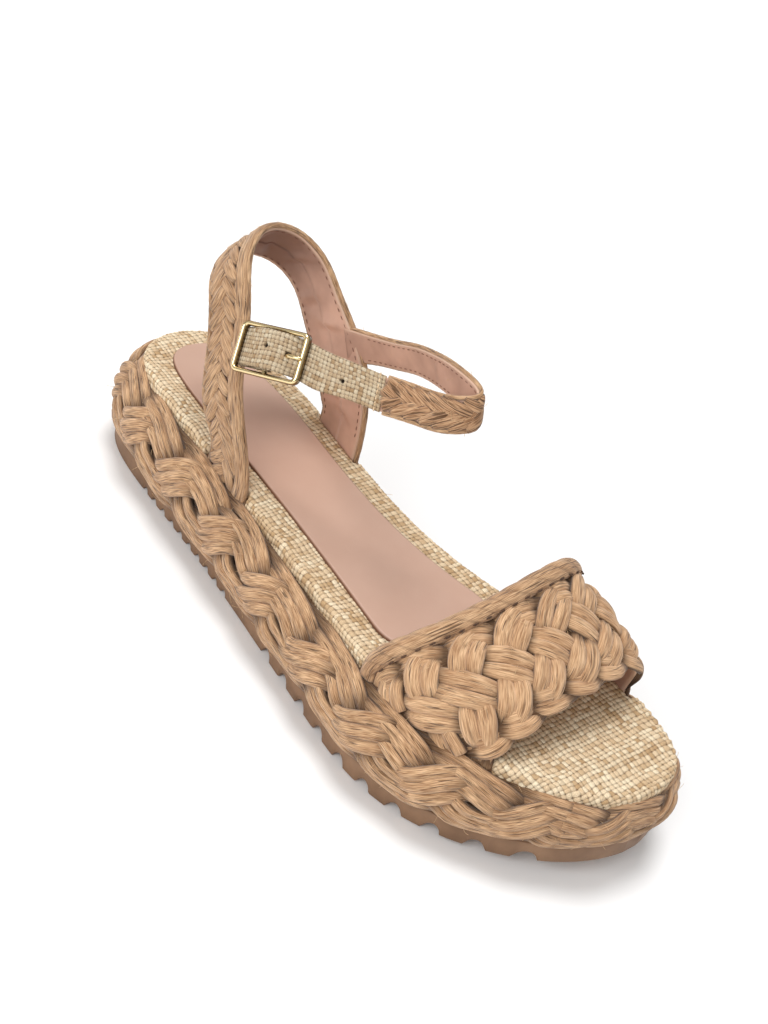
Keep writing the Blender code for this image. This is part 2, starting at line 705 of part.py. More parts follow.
def buckle_axes():
    """Forward, up and outward directions of the buckle."""
    out = np.array((math.cos(BUCKLE_TURN) * math.cos(BUCKLE_LEAN),
                    math.sin(BUCKLE_TURN) * math.cos(BUCKLE_LEAN), math.sin(BUCKLE_LEAN)))
    level = np.array((-math.sin(BUCKLE_TURN), math.cos(BUCKLE_TURN), 0.0))
    rise = np.cross(out, level)
    forward = level * math.cos(BUCKLE_SLOPE) + rise * math.sin(BUCKLE_SLOPE)
    return forward, np.cross(out, forward), out


def buckle_point(forward, up, out):
    axes = buckle_axes()
    return BUCKLE_CENTRE + forward * axes[0] + up * axes[1] + out * axes[2]


def path_rows(path, half_width):
    return np.array([[buckle_point(row.forward * MM, row.up * MM + side * half_width, row.out * MM)
                      for side in (-1, 1)] for row in path])


def make_strap_end(group, cutters, finish):
    join_row = strap_rows(ANKLE_STRAP[-1:])
    rows = np.vstack((join_row, strap_rows((STRAP_END_JOIN,)),
                      path_rows(STRAP_END_PATH, STRAP_END_WIDTH / 2)))
    edges = strap_edges(rows, STRAP_END_STEP)
    start = unit(edges[1] - edges[0]) * GAP
    edges[0] += start
    item = wall_solid("strap_end", *strap_walls(edges, STRAP_END_WALL, 2), group, finish)
    bm = bmesh.new()
    bmesh.ops.create_cone(bm, cap_ends=True, segments=PRONG_HOLE_SIDES, radius1=PRONG_HOLE,
                          radius2=PRONG_HOLE, depth=PRONG_HOLE_DEPTH)
    hole = mesh_object("prong_hole", bm, cutters, finish)
    hole.matrix_world = buckle_matrix(PRONG_HOLE_FORWARD, 0.0, PRONG_HOLE_OUT)
    hole.display_type = "WIRE"
    hole.hide_render = True
    bpy.context.view_layer.update()
    cut(item, hole)
    return item


def buckle_matrix(forward, up, out):
    axes = buckle_axes()
    matrix = Matrix([Vector(axis) for axis in axes]).transposed().to_4x4()
    matrix.translation = Vector(buckle_point(forward, up, out))
    return matrix


def make_buckle_tab(group, cutters, finish, heel_edges):
    corners = np.array(TAB_PATCH) * MM
    forward = buckle_axes()[0]
    patch = [[seat_on(heel_edges, corner - forward * back * MM, TAB_LIFT) for corner in corners]
             for back in TAB_PATCH_BACK]
    rows = np.vstack((patch, path_rows(TAB_PATH, TAB_WIDTH / 2)))
    knots = chord_knots(rows.mean(axis=1))
    places = np.sort(np.concatenate((knots, (knots[1:] + knots[:-1]) / 2)))
    edges = spline(knots, rows.reshape(len(rows), -1), places).reshape(-1, 2, 3)
    item = wall_solid("buckle_tab", *strap_walls(edges, TAB_WALL, 2), group, finish)
    bm = bmesh.new()
    bmesh.ops.create_cube(bm, size=1.0)
    slot_size = (PRONG_SLOT_LENGTH, 2 * (PRONG_WIRE + GAP), PRONG_SLOT_DEPTH)
    bmesh.ops.scale(bm, vec=slot_size, verts=bm.verts)
    slot = mesh_object("prong_slot", bm, cutters, finish)
    slot.matrix_world = buckle_matrix(PRONG_SLOT_FORWARD, 0.0, 0.0)
    slot.display_type = "WIRE"
    slot.hide_render = True
    bpy.context.view_layer.update()
    cut(item, slot)
    return item


def wire(name, points, radius, closed, group, finish):
    """Round wire through points, made a closed mesh."""
    curve = bpy.data.curves.new(name, "CURVE")
    curve.dimensions = "3D"
    curve.bevel_depth = radius
    curve.bevel_resolution = WIRE_ROUNDNESS
    curve.use_fill_caps = not closed
    line = curve.splines.new("POLY")
    line.points.add(len(points) - 1)
    for point, place in zip(line.points, points):
        point.co = (*place, 1.0)
    line.use_cyclic_u = closed
    drawn = bpy.data.objects.new(name, curve)
    group.objects.link(drawn)
    graph = bpy.context.evaluated_depsgraph_get()
    mesh = bpy.data.meshes.new_from_object(drawn.evaluated_get(graph))
    bpy.data.objects.remove(drawn, do_unlink=True)
    bm = bmesh.new()
    bm.from_mesh(mesh)
    bmesh.ops.remove_doubles(bm, verts=bm.verts, dist=TURN_NUDGE * MM)
    return mesh_object(name, bm, group, finish)


def make_buckle_frame(group, finish):
    half_length = BUCKLE_LENGTH / 2 - BUCKLE_WIRE
    half_height = BUCKLE_HEIGHT / 2 - BUCKLE_WIRE
    points = []
    for quarter, (side, level) in enumerate(((1, 1), (-1, 1), (-1, -1), (1, -1))):
        for step in np.linspace(0, 1, FRAME_CORNER_STEPS):
            angle = (quarter + step) * math.pi / 2
            forward = side * (half_length - BUCKLE_CORNER) + BUCKLE_CORNER * math.cos(angle)
            up = level * (half_height - BUCKLE_CORNER) + BUCKLE_CORNER * math.sin(angle)
            points.append(buckle_point(forward, up, 0.0))
    frame = wire("buckle_frame", points, BUCKLE_WIRE, True, group, finish)
    ends = [buckle_point(0.0, side * half_height, 0.0) for side in (-1, 1)]
    bar = wire("buckle_bar", ends, CENTRE_BAR, False, group, finish)
    join(frame, bar)
    return frame


def make_prong(group, finish):
    rows = np.array([buckle_point(row.forward * MM, 0.0, row.out * MM) for row in PRONG_PATH])
    knots = chord_knots(rows)
    points = spline(knots, rows, np.linspace(0, knots[-1], PRONG_STEPS))
    return wire("buckle_prong", points, PRONG_WIRE, False, group, finish)


def centre_on_box(parts, group):
    """Hang every part on one empty that puts the middle of their box over the origin."""
    corners = np.array([item.matrix_world @ vert.co for item in parts for vert in item.data.vertices])
    middle = (corners.min(axis=0) + corners.max(axis=0)) / 2
    stand = bpy.data.objects.new("sandal", None)
    group.objects.link(stand)
    for item in parts:
        item.parent = stand
    stand.location = (-middle[0], -middle[1], 0.0)
    print("heel tip at", round(-middle[0] / MM, 3), round(-middle[1] / MM, 3), "mm")
    return stand


def main():
    clear_scene()
    group = new_collection("platform_sandal")
    cutters = new_collection("cutters")
    finishes = {name: finish_material(name) for name in FINISHES}
    parts = [
        make_outsole(group, finishes["rubber"]),
        make_platform(group, finishes["jute"]),
        make_footbed(group, finishes["straw_cloth"]),
        make_sock(group, finishes["sock_leather"]),
        make_toe_band(group, finishes["jute"]),
    ]
    straps, heel_edges = make_straps(group, finishes["jute"])
    parts.append(straps)
    cloth = finishes["straw_cloth"]
    parts.append(make_strap_end(group, cutters, cloth))
    parts.append(make_buckle_tab(group, cutters, cloth, heel_edges))
    parts.append(make_buckle_frame(group, finishes["gold"]))
    parts.append(make_prong(group, finishes["gold"]))
    stand = centre_on_box(parts, group)
    for cutter in cutters.objects:
        cutter.parent = stand


main()
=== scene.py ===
# %% [markdown]
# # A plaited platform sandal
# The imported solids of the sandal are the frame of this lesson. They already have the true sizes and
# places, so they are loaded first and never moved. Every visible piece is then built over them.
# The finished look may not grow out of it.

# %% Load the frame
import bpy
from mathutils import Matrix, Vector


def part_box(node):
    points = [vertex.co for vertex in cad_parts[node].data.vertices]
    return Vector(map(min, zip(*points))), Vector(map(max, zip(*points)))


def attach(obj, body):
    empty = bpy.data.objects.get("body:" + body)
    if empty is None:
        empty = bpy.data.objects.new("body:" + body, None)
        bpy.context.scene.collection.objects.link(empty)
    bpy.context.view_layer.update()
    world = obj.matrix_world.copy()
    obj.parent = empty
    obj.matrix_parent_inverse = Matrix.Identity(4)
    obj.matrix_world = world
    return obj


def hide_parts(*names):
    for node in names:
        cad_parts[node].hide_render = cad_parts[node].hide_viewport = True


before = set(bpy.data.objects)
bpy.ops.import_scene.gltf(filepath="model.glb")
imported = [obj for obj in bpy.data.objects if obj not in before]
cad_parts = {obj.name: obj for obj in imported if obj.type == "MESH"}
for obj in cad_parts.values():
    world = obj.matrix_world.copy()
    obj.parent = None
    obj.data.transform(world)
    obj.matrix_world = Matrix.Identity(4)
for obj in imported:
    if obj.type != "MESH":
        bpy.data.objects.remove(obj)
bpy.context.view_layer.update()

# %% [markdown]
# Nearly everything on this sandal follows a curve: the last, the straps, the strands of the plaits.
# Blender's own curves could carry them, but the strands have to weave over and under each other at
# measured places. Plain number arrays make that easy, so this cell holds the small tools for them:
# a smooth curve through a few points, directions of length one, and a slow random drift that makes
# hand work look less even.

# %% Tools for curves
import math
from collections import namedtuple

import bpy
import numpy as np
from mathutils import Matrix, Vector

MM = 0.001
CM = 0.01
FULL_TURN = 2 * math.pi
NUDGE = 1e-3
TINY = 1e-12
# Waves that add up to a random drift: their number, their range of lengths, and what their sum is divided by
WAVES, WAVE_LENGTHS, WAVE_SUM = 3, (0.6, 1.7), 2.2


def spline(knots, values, at):
    """Natural cubic curve through the values at the knots, read at the given places."""
    knots = np.asarray(knots, float)
    values = np.asarray(values, float).reshape(len(knots), -1)
    steps = np.diff(knots)[:, None]
    slopes = np.diff(values, axis=0) / steps
    system = np.eye(len(knots))
    bends = np.zeros_like(values)
    for row in range(1, len(knots) - 1):
        before = steps[row - 1, 0]
        after = steps[row, 0]
        system[row, row - 1:row + 2] = (before, 2 * (before + after), after)
        bends[row] = 6 * (slopes[row] - slopes[row - 1])
    bends = np.linalg.solve(system, bends)
    at = np.atleast_1d(np.asarray(at, float))
    cell = np.clip(np.searchsorted(knots, at, side="right") - 1, 0, len(knots) - 2)
    step = steps[cell]
    right = (at[:, None] - knots[cell][:, None]) / step
    left = 1 - right
    curve = (left ** 3 - left) * bends[cell] + (right ** 3 - right) * bends[cell + 1]
    return left * values[cell] + right * values[cell + 1] + curve * step ** 2 / 6


def unit(vectors):
    return vectors / np.maximum(np.linalg.norm(vectors, axis=-1, keepdims=True), TINY)


def running_length(points):
    return np.concatenate(([0.0], np.cumsum(np.linalg.norm(np.diff(points, axis=0), axis=1))))


def ease(share):
    share = np.clip(share, 0, 1)
    return share * share * (3 - 2 * share)


def wander(place, length, seed):
    """A smooth random drift between about -1 and 1, with bends of about the given length."""
    picks = np.random.default_rng(seed)
    total = np.zeros(np.shape(place))
    for _ in range(WAVES):
        wave = length * picks.uniform(*WAVE_LENGTHS)
        total = total + np.sin(FULL_TURN * place / wave + picks.uniform(0, FULL_TURN))
    return total / WAVE_SUM


def grid_normals(grid):
    """Outward directions of a grid of points, rows along the piece and columns across it."""
    return unit(np.cross(np.gradient(grid, axis=1), np.gradient(grid, axis=0)))


print("tools ready")

# %% [markdown]
# A strand, a strap, a sole and a lining are all one kind of shape: a row of closed rings with its two
# ends capped. One helper therefore builds every piece. It lays a flat map over the surface, in
# centimetres along and around, so that fibres and threads can follow the piece, and it stores marks
# worked out with the shape, such as how deep a groove is, for the materials to read; many are painted shade.

# %% Tools for pieces
Tube = namedtuple("Tube", "rings run girth closed marks")
# Step in centimetres between two tubes of a piece on the flat map
TUBE_STEP = np.array((3.7, 2.9))


def add_piece(name, points, faces, lay, marks, finish, stands_for=()):
    """A mesh object from number arrays, riding on the sandal's one body."""
    corners = np.concatenate([np.ravel(group) for group in faces])
    sizes = np.concatenate([np.full(len(group), group.shape[1]) for group in faces])
    starts = np.concatenate(([0], np.cumsum(sizes)[:-1]))
    mesh = bpy.data.meshes.new(name)
    mesh.vertices.add(len(points))
    mesh.vertices.foreach_set("co", np.ravel(points + HEEL_TIP).astype(np.float32))
    mesh.loops.add(len(corners))
    mesh.loops.foreach_set("vertex_index", corners.astype(np.int32))
    mesh.polygons.add(len(sizes))
    mesh.polygons.foreach_set("loop_start", starts.astype(np.int32))
    mesh.update(calc_edges=True)
    mesh.uv_layers.new(name="lay").data.foreach_set("uv", np.ravel(lay).astype(np.float32))
    for label, values in marks.items():
        mark = mesh.attributes.new(label, "FLOAT", "POINT")
        mark.data.foreach_set("value", np.ravel(values).astype(np.float32))
    mesh.shade_smooth()
    return show_piece(name, mesh, finish, stands_for)


def show_piece(name, mesh, finish, stands_for=()):
    mesh.materials.clear()
    mesh.materials.append(finish)
    piece = bpy.data.objects.new(name, mesh)
    bpy.context.scene.collection.objects.link(piece)
    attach(piece, "root")
    if stands_for:
        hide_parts(*stands_for)
    count = sum(len(polygon.vertices) - 2 for polygon in mesh.polygons)
    print(name, count, "triangles")
    return piece


def tube_faces(tube):
    """Faces of one tube that look outwards, and their places on its flat map."""
    count, around = tube.rings.shape[:2]
    rows = np.arange(count if tube.closed else count - 1)
    i, j = (axis.ravel() for axis in np.meshgrid(rows, np.arange(around), indexing="ij"))
    corner_i = np.stack((i, i, i + 1, i + 1), axis=1)
    corner_j = np.stack((j, j + 1, j + 1, j), axis=1)
    quads = corner_i % count * around + corner_j % around
    spots = tube.rings.reshape(-1, 3)[quads]
    facing = np.cross(spots[:, 2] - spots[:, 0], spots[:, 3] - spots[:, 1])
    inside_out = np.sum(facing * (spots.mean(axis=1) - tube.rings.mean(axis=1)[i])) < 0
    run = np.append(tube.run, 2 * tube.run[-1] - tube.run[-2])
    lay = np.stack((run[corner_i], tube.girth * corner_j / around), axis=2) / CM
    ends = [] if tube.closed else [np.arange(around)[::-1], (count - 1) * around + np.arange(around)]
    order = -1 if inside_out else 1
    return quads[:, ::order], lay[:, ::order], [end[::order] for end in ends]


def add_tubes(name, tubes, finish, stands_for=()):
    """One piece made of several tubes, each with a stretch of the flat map of its own."""
    points, faces, lay = [], [], []
    marks = {label: [] for label in tubes[0].marks}
    first = 0
    for number, tube in enumerate(tubes):
        quads, quad_lay, ends = tube_faces(tube)
        points.append(tube.rings.reshape(-1, 3))
        faces.append(quads + first)
        lay.append(quad_lay.reshape(-1, 2) + number * TUBE_STEP)
        for end in ends:
            faces.append(end[None] + first)
            lay.append(np.zeros((len(end), 2)))
        for label in marks:
            marks[label].append(np.ravel(tube.marks[label]))
        first += len(points[-1])
    marks = {label: np.concatenate(values) for label, values in marks.items()}
    return add_piece(name, np.vstack(points), faces, np.vstack(lay), marks, finish, stands_for)


def ring_girth(rings):
    middle = rings[len(rings) // 2]
    return running_length(np.vstack((middle, middle[:1])))[-1]


def plain_tube(rings, closed=False, marks=None):
    run = running_length(rings.mean(axis=1))
    return Tube(rings, run, ring_girth(rings), closed, marks or {})


print("piece tools ready")

# %% [markdown]
# The last is the foot-shaped form that a shoe is built on. Its outline and heights are the same
# numbers that the solids were drawn with, in millimetres from the heel tip. An angle that is 0 at the
# heel tip and half a turn at the toe tip keeps the curve round at both ends. The solids stand centred
# on the floor, so the place of the heel tip is read back from the boxes of the outsole and the footbed.

# %% The last
FOOTBED_LENGTH = 248 * MM
Section = namedtuple("Section", "along outer inner rim dish bulge sole")
LAST_SECTIONS = (
    Section(0, 0.0, 0.0, 38.0, 0.0, 0.72, 4.2),
    Section(8, 19.3, -19.0, 37.9, 0.6, 0.72, 4.2),
    Section(30, 27.3, -25.8, 37.6, 1.6, 0.84, 4.2),
    Section(60, 30.0, -25.2, 37.0, 1.8, 0.96, 4.3),
    Section(95, 33.2, -20.5, 36.2, 0.8, 1.00, 4.6),
    Section(130, 37.4, -19.6, 35.5, 0.4, 1.00, 5.4),
    Section(160, 41.4, -25.8, 35.0, 0.8, 1.00, 6.0),
    Section(185, 43.0, -34.3, 34.6, 1.0, 0.98, 6.0),
    Section(208, 36.8, -37.0, 34.3, 0.6, 0.86, 5.0),
    Section(228, 25.5, -34.6, 34.0, 0.3, 0.62, 3.4),
    Section(242, 11.0, -28.0, 33.8, 0.1, 0.46, 2.4),
    Section(248, -9.5, -9.5, 33.7, 0.0, 0.43, 2.2),
)
TOE_SPRING, SPRING_START, SPRING_END = 9 * MM, 195 * MM, 250 * MM
OUTSOLE_HEIGHT = 8 * MM
EDGE_SAMPLES, SOLE_SAMPLES = 1600, 800
SEAM_GAP = 1e-9


def column(table, name):
    return np.array([getattr(row, name) for row in table]) * MM


def half_turn(along):
    return np.arccos(np.clip(1 - 2 * np.asarray(along) / FOOTBED_LENGTH, -1, 1))


SECTION_TURNS = half_turn(column(LAST_SECTIONS, "along"))


def last_edge(turns):
    """Outline of the last: outer side for the first half turn, then back along the inner side."""
    turns = np.mod(turns, FULL_TURN)
    on_outer_side = turns <= math.pi
    halves = np.where(on_outer_side, turns, FULL_TURN - turns)
    outer = spline(SECTION_TURNS, column(LAST_SECTIONS, "outer"), halves)[:, 0]
    inner = spline(SECTION_TURNS, column(LAST_SECTIONS, "inner"), halves)[:, 0]
    along = FOOTBED_LENGTH / 2 * (1 - np.cos(halves))
    return np.column_stack((np.where(on_outer_side, outer, inner), along))


def grown_edge(turns, grow):
    """The outline moved outwards by a distance."""
    heading = unit(last_edge(turns + NUDGE) - last_edge(turns - NUDGE))
    outward = np.column_stack((heading[:, 1], -heading[:, 0]))
    return last_edge(turns) + outward * np.reshape(grow, (-1, 1))


def even_turns(count):
    """Turns round the outline, matched side to side, at about even distances."""
    halves = np.linspace(0, math.pi, EDGE_SAMPLES)
    run = running_length(last_edge(halves)) + running_length(last_edge(FULL_TURN - SEAM_GAP - halves))
    half = np.interp(np.linspace(0, run[-1], count // 2 + 1), run, halves)
    return np.concatenate((half, FULL_TURN - half[-2:0:-1]))


def section_value(name, along):
    along = np.clip(np.ravel(along), 0, FOOTBED_LENGTH)
    return spline(column(LAST_SECTIONS, "along"), column(LAST_SECTIONS, name), along)[:, 0]


def rim_height(along):
    return section_value("rim", along)


def tread_height(along):
    share = np.clip((along - SPRING_START) / (SPRING_END - SPRING_START), 0, None)
    return TOE_SPRING * share ** 2


sole_halves = np.linspace(NUDGE, math.pi - NUDGE, SOLE_SAMPLES)
sole_reach = spline(SECTION_TURNS, column(LAST_SECTIONS, "sole"), sole_halves)[:, 0]
sole_outer = grown_edge(sole_halves, sole_reach)
sole_inner = grown_edge(FULL_TURN - sole_halves, sole_reach)
_, sole_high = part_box("outsole")
footbed_low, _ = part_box("footbed")
HEEL_TIP = np.array((sole_high.x - sole_outer[:, 0].max(), footbed_low.y, 0.0))
print("heel tip at", HEEL_TIP.round(5))

# %% [markdown]
# Colours are judged from the photograph and written as screen colours, so one helper turns
# them into the linear values that a shader works with. Each of the other helpers adds one kind of node,
# to keep every finish down to the steps that matter.

# %% Tools for finishes
def tint(red, green, blue):
    """Linear colour of a screen colour given from 0 to 255."""
    shares = np.array((red, green, blue)) / 255
    linear = np.where(shares <= 0.04045, shares / 12.92, ((shares + 0.055) / 1.055) ** 2.4)
    return (*(float(value) for value in linear), 1.0)


def grey(level):
    return (level, level, level, 1.0)


def start_finish(name, colour, roughness, metallic=0.0):
    finish = bpy.data.materials.new(name)
    finish.use_nodes = True
    finish.diffuse_color = colour
    shader = finish.node_tree.nodes["Principled BSDF"]
    shader.inputs["Base Color"].default_value = colour
    shader.inputs["Roughness"].default_value = roughness
    shader.inputs["Metallic"].default_value = metallic
    return finish, finish.node_tree, shader


def set_colour(tree, shader, colour, specular=0.5):
    tree.links.new(colour, shader.inputs["Base Color"])
    shader.inputs["Specular IOR Level"].default_value = specular


def add_node(tree, kind, inputs=None, **settings):
    node = tree.nodes.new(kind)
    for key, value in settings.items():
        setattr(node, key, value)
    for key, value in (inputs or {}).items():
        if isinstance(value, bpy.types.NodeSocket):
            tree.links.new(value, node.inputs[key])
        else:
            node.inputs[key].default_value = value
    return node


def add_step(tree, kind, inputs=None, **settings):
    """First output of a new node."""
    return add_node(tree, kind, inputs, **settings).outputs[0]


def blend(tree, factor, first, second, how="MIX"):
    """Colour mix of two colours or sockets."""
    return add_node(tree, "ShaderNodeMix", {0: factor, 6: first, 7: second},
                    data_type="RGBA", blend_type=how).outputs[2]


def sums(tree, how, first, second, limit=False):
    return add_step(tree, "ShaderNodeMath", {0: first, 1: second}, operation=how, use_clamp=limit)


def mark(tree, name):
    return add_node(tree, "ShaderNodeAttribute", attribute_name=name).outputs["Fac"]


def laid_noise(tree, along, around, detail=2.0):
    """Noise on the piece's flat map, with so many spots a centimetre each way."""
    lay = add_step(tree, "ShaderNodeUVMap", uv_map="lay")
    spread = add_step(tree, "ShaderNodeMapping", {"Vector": lay, "Scale": (along, around, 1.0)})
    return add_step(tree, "ShaderNodeTexNoise", {"Vector": spread, "Scale": 1.0, "Detail": detail},
                    noise_dimensions="2D")


def object_noise(tree, scale, detail=2.0):
    place = add_node(tree, "ShaderNodeTexCoord").outputs["Object"]
    return add_step(tree, "ShaderNodeTexNoise", {"Vector": place, "Scale": scale, "Detail": detail})


def ramp(tree, value, *stops):
    """Colours spread over a value, as pairs of place and colour."""
    node = add_node(tree, "ShaderNodeValToRGB", {"Fac": value})
    places = node.color_ramp.elements
    while len(places) < len(stops):
        places.new(0.5)
    for element, (place, colour) in zip(places, stops):
        element.position = place
        element.color = colour
    return node.outputs[0]


def raise_surface(tree, shader, height, distance, strength=1.0):
    bump = add_step(tree, "ShaderNodeBump", {"Height": height, "Distance": distance, "Strength": strength})
    tree.links.new(bump, shader.inputs["Normal"])


print("finish tools ready")

# %% [markdown]
# Jute strands are bundles of long matt fibres, each a hair wide, lying side by side. Their colour
# changes a little from fibre to fibre, and here and there the fibres part and leave a short slit, which is
# painted dark as shade. A picture of jute would repeat on every strand. So the finish stretches noise along
# the flat map for the fibres and the slits, and paints shade into the grooves, onto the flanks and over the
# buried parts of a strand, as stored with the shape.

# %% Jute finish
WHITE, BLACK = grey(1.0), grey(0.0)
# The colour painted as shade into slits, grooves, flanks and buried strands, and a patch tone
JUTE_PAINTED_SHADE, JUTE_PATCH = tint(56, 34, 20), tint(226, 218, 212)
PATCH_STRENGTH, SLIT_STRENGTH, GROOVE_STRENGTH = 0.8, 0.8, 0.88
SLIT_SOFTNESS = 0.045
# Colours of the fibres, their number in a centimetre, how common the dark slits are, and the painted shade of
# buried strands
Jute = namedtuple("Jute", "name light middle deep fibres slit shade")
JUTES = (
    Jute("jute_strand", (230, 192, 152), (207, 167, 128), (172, 132, 96), 46, 0.3, 0.8),
    Jute("jute_wall", (224, 186, 147), (196, 157, 119), (150, 112, 79), 46, 0.33, 0.9),
    Jute("jute_braid", (218, 180, 142), (193, 155, 118), (150, 113, 81), 50, 0.35, 0.85),
    # A darker copy of the jute for the ankle strap, with its tones lowered as painted shade and more slits
    Jute("jute_front_painted_shade", (208, 168, 130), (180, 141, 107), (136, 100, 71), 46, 0.4, 0.9),
)


def jute_finish(look):
    light, middle, deep = (tint(*colour) for colour in (look.light, look.middle, look.deep))
    finish, tree, shader = start_finish(look.name, middle, roughness=0.92)
    fine = laid_noise(tree, along=2.2, around=look.fibres)
    colour = ramp(tree, fine, (0.32, deep), (0.5, middle), (0.68, light))
    patch = ramp(tree, laid_noise(tree, along=0.7, around=3.0), (0.36, JUTE_PATCH), (0.62, WHITE))
    colour = blend(tree, PATCH_STRENGTH, colour, patch, "MULTIPLY")
    slits = ramp(tree, laid_noise(tree, along=1.1, around=21.0, detail=1.0),
                 (look.slit - SLIT_SOFTNESS, WHITE), (look.slit, BLACK))
    # Painted shade: slits, grooves and flanks are darkened towards the shade colour, and so are the parts of
    # a strand that lie under others
    parted = sums(tree, "MAXIMUM", sums(tree, "MULTIPLY", slits, SLIT_STRENGTH), mark(tree, "painted_groove_shade"))
    colour = blend(tree, sums(tree, "MULTIPLY", parted, GROOVE_STRENGTH, True), colour, JUTE_PAINTED_SHADE)
    painted_buried_shade = sums(tree, "MULTIPLY", mark(tree, "painted_buried_shade"), look.shade, True)
    set_colour(tree, shader, blend(tree, painted_buried_shade, colour, JUTE_PAINTED_SHADE), specular=0.12)
    shader.inputs["Sheen Weight"].default_value = 0.25
    raise_surface(tree, shader, sums(tree, "SUBTRACT", fine, slits), 0.3 * MM, 0.8)
    return finish


jute, jute_wall, jute_fine, jute_front_painted_shade = (jute_finish(look) for look in JUTES)
print("jute finishes", jute.name, jute_wall.name, jute_fine.name, jute_front_painted_shade.name)

# %% [markdown]
# The footbed, the strap end and the buckle's loop are covered in a coarse straw cloth, a plain weave of
# flat threads. A plain weave is a chessboard of short raised floats: on one square the lengthwise thread
# lies on top, on the next one the crosswise thread. The mesh raises the floats and stores the count of
# threads in both directions, and the finish counts the same squares, so that the painted shade in the low
# gaps between the floats and the tone of every thread fall exactly where the mesh has them.

# %% Straw cloth finish
STRAW_LIGHT = tint(248, 232, 202)
STRAW_MIDDLE = tint(229, 204, 169)
STRAW_DEEP = tint(196, 164, 124)
STRAW_GAP_SHADE = tint(84, 58, 35)
STRAW_FLECK = tint(196, 176, 150)
HOLE_SHADE = tint(30, 18, 11)
# Height of a thread: its middle, and how far it rises and dips
FLOAT_LEVEL, FLOAT_SWING = 0.55, 0.45


def shaded_threads(tree, own, other, turn):
    """Height of the threads counted by own, which rise over every second one counted by other."""
    share, number = sums(tree, "FRACT", own, 0.0), sums(tree, "FLOOR", own, 0.0)
    bow = sums(tree, "MULTIPLY", sums(tree, "MULTIPLY", share, 4.0), sums(tree, "SUBTRACT", 1.0, share))
    place = sums(tree, "SUBTRACT", sums(tree, "SUBTRACT", other, 0.5), number)
    swing = sums(tree, "COSINE", sums(tree, "MULTIPLY", place, math.pi), 0.0)
    lift = sums(tree, "ADD", sums(tree, "MULTIPLY", swing, FLOAT_SWING * turn), FLOAT_LEVEL)
    return sums(tree, "MULTIPLY", sums(tree, "POWER", bow, 0.5), lift), number


def chance_tone(tree, first, second):
    """A chance number for each pair of counts."""
    pair = add_step(tree, "ShaderNodeCombineXYZ", {"X": first, "Y": second})
    return add_step(tree, "ShaderNodeTexWhiteNoise", {"Vector": pair}, noise_dimensions="2D")


straw, tree, shader = start_finish("straw_cloth_weave", STRAW_MIDDLE, 0.8)
warp, weft = mark(tree, "warp"), mark(tree, "weft")
warp_rise, warp_number = shaded_threads(tree, warp, weft, 1)
weft_rise, weft_number = shaded_threads(tree, weft, warp, -1)
crosswise = sums(tree, "GREATER_THAN", weft_rise, warp_rise)
swap_number = sums(tree, "MULTIPLY", crosswise, sums(tree, "SUBTRACT", weft_number, warp_number))
thread = chance_tone(tree, sums(tree, "ADD", warp_number, swap_number), crosswise)
short_float = chance_tone(tree, warp_number, weft_number)
tone = sums(tree, "ADD", sums(tree, "MULTIPLY", thread, 0.5), sums(tree, "MULTIPLY", short_float, 0.5))
colour = ramp(tree, tone, (0.15, STRAW_DEEP), (0.45, STRAW_MIDDLE), (0.85, STRAW_LIGHT))
flecks = laid_noise(tree, along=30, around=30, detail=3.0)
colour = blend(tree, 0.6, colour, ramp(tree, flecks, (0.3, STRAW_FLECK), (0.6, WHITE)), "MULTIPLY")
top_thread = sums(tree, "MAXIMUM", warp_rise, weft_rise)
# Painted shade: where the top thread is low, in the gaps between floats, the colour is darkened towards the
# gap shade by an amount that varies with noise
gap = ramp(tree, top_thread, (0.2, WHITE), (0.7, BLACK))
darkening_amount = ramp(tree, laid_noise(tree, along=7, around=7), (0.35, grey(0.55)), (0.62, WHITE))
colour = blend(tree, sums(tree, "MULTIPLY", gap, darkening_amount), colour, STRAW_GAP_SHADE)
# Painted shade: the pit mark darkens the punched holes and the backs of the cloth strips, and darkens the
# strap end's face and the loop, towards the hole shade
set_colour(tree, shader, blend(tree, mark(tree, "pit"), colour, HOLE_SHADE), specular=0.3)
relief = sums(tree, "ADD", sums(tree, "MULTIPLY", flecks, 0.3), top_thread)
raise_surface(tree, shader, relief, 0.45 * MM, 0.8)
print("straw finish", straw.name)

# %% [markdown]
# The sock and the linings are thin nude leather. Smooth leather still has pores and a slow change of
# colour from the dye, and its cut edge has a shade of its own. The toe band's and ankle strap's linings mix
# in some of a darker colour, and the heel strap's lining mixes it in over the back of the strap as painted
# shade; both are stored with the shape. Pores, dust on the rubber, the twist of the threads and wear on the
# gold have no direction to follow, so plain noise in the space of the object is enough for them.

# %% Leather, rubber, thread and metal finishes
def leather_finish(name, face, patch, cut_edge, roughness):
    finish, tree, shader = start_finish(name, face, roughness)
    cloud = ramp(tree, object_noise(tree, 70, 3.0), (0.35, BLACK), (0.7, grey(0.4)))
    # The mark mixes in the darker patch colour: a tone on the toe band's and ankle strap's linings, painted
    # shade on the back of the heel strap's lining
    colour = blend(tree, sums(tree, "ADD", cloud, mark(tree, "tone_and_painted_shade"), True), face, patch)
    set_colour(tree, shader, blend(tree, mark(tree, "edge"), colour, cut_edge), specular=0.4)
    place = add_node(tree, "ShaderNodeTexCoord").outputs["Object"]
    grain = add_step(tree, "ShaderNodeTexVoronoi", {"Vector": place, "Scale": 1500.0}, feature="SMOOTH_F1")
    raise_surface(tree, shader, grain, 0.06 * MM, 0.35)
    return finish


sock_leather = leather_finish("sock_leather_face", tint(195, 160, 141), tint(187, 150, 130),
                              tint(116, 80, 60), 0.45)
lining_leather = leather_finish("lining_leather", tint(222, 178, 155), tint(138, 104, 88),
                                tint(214, 180, 156), 0.55)

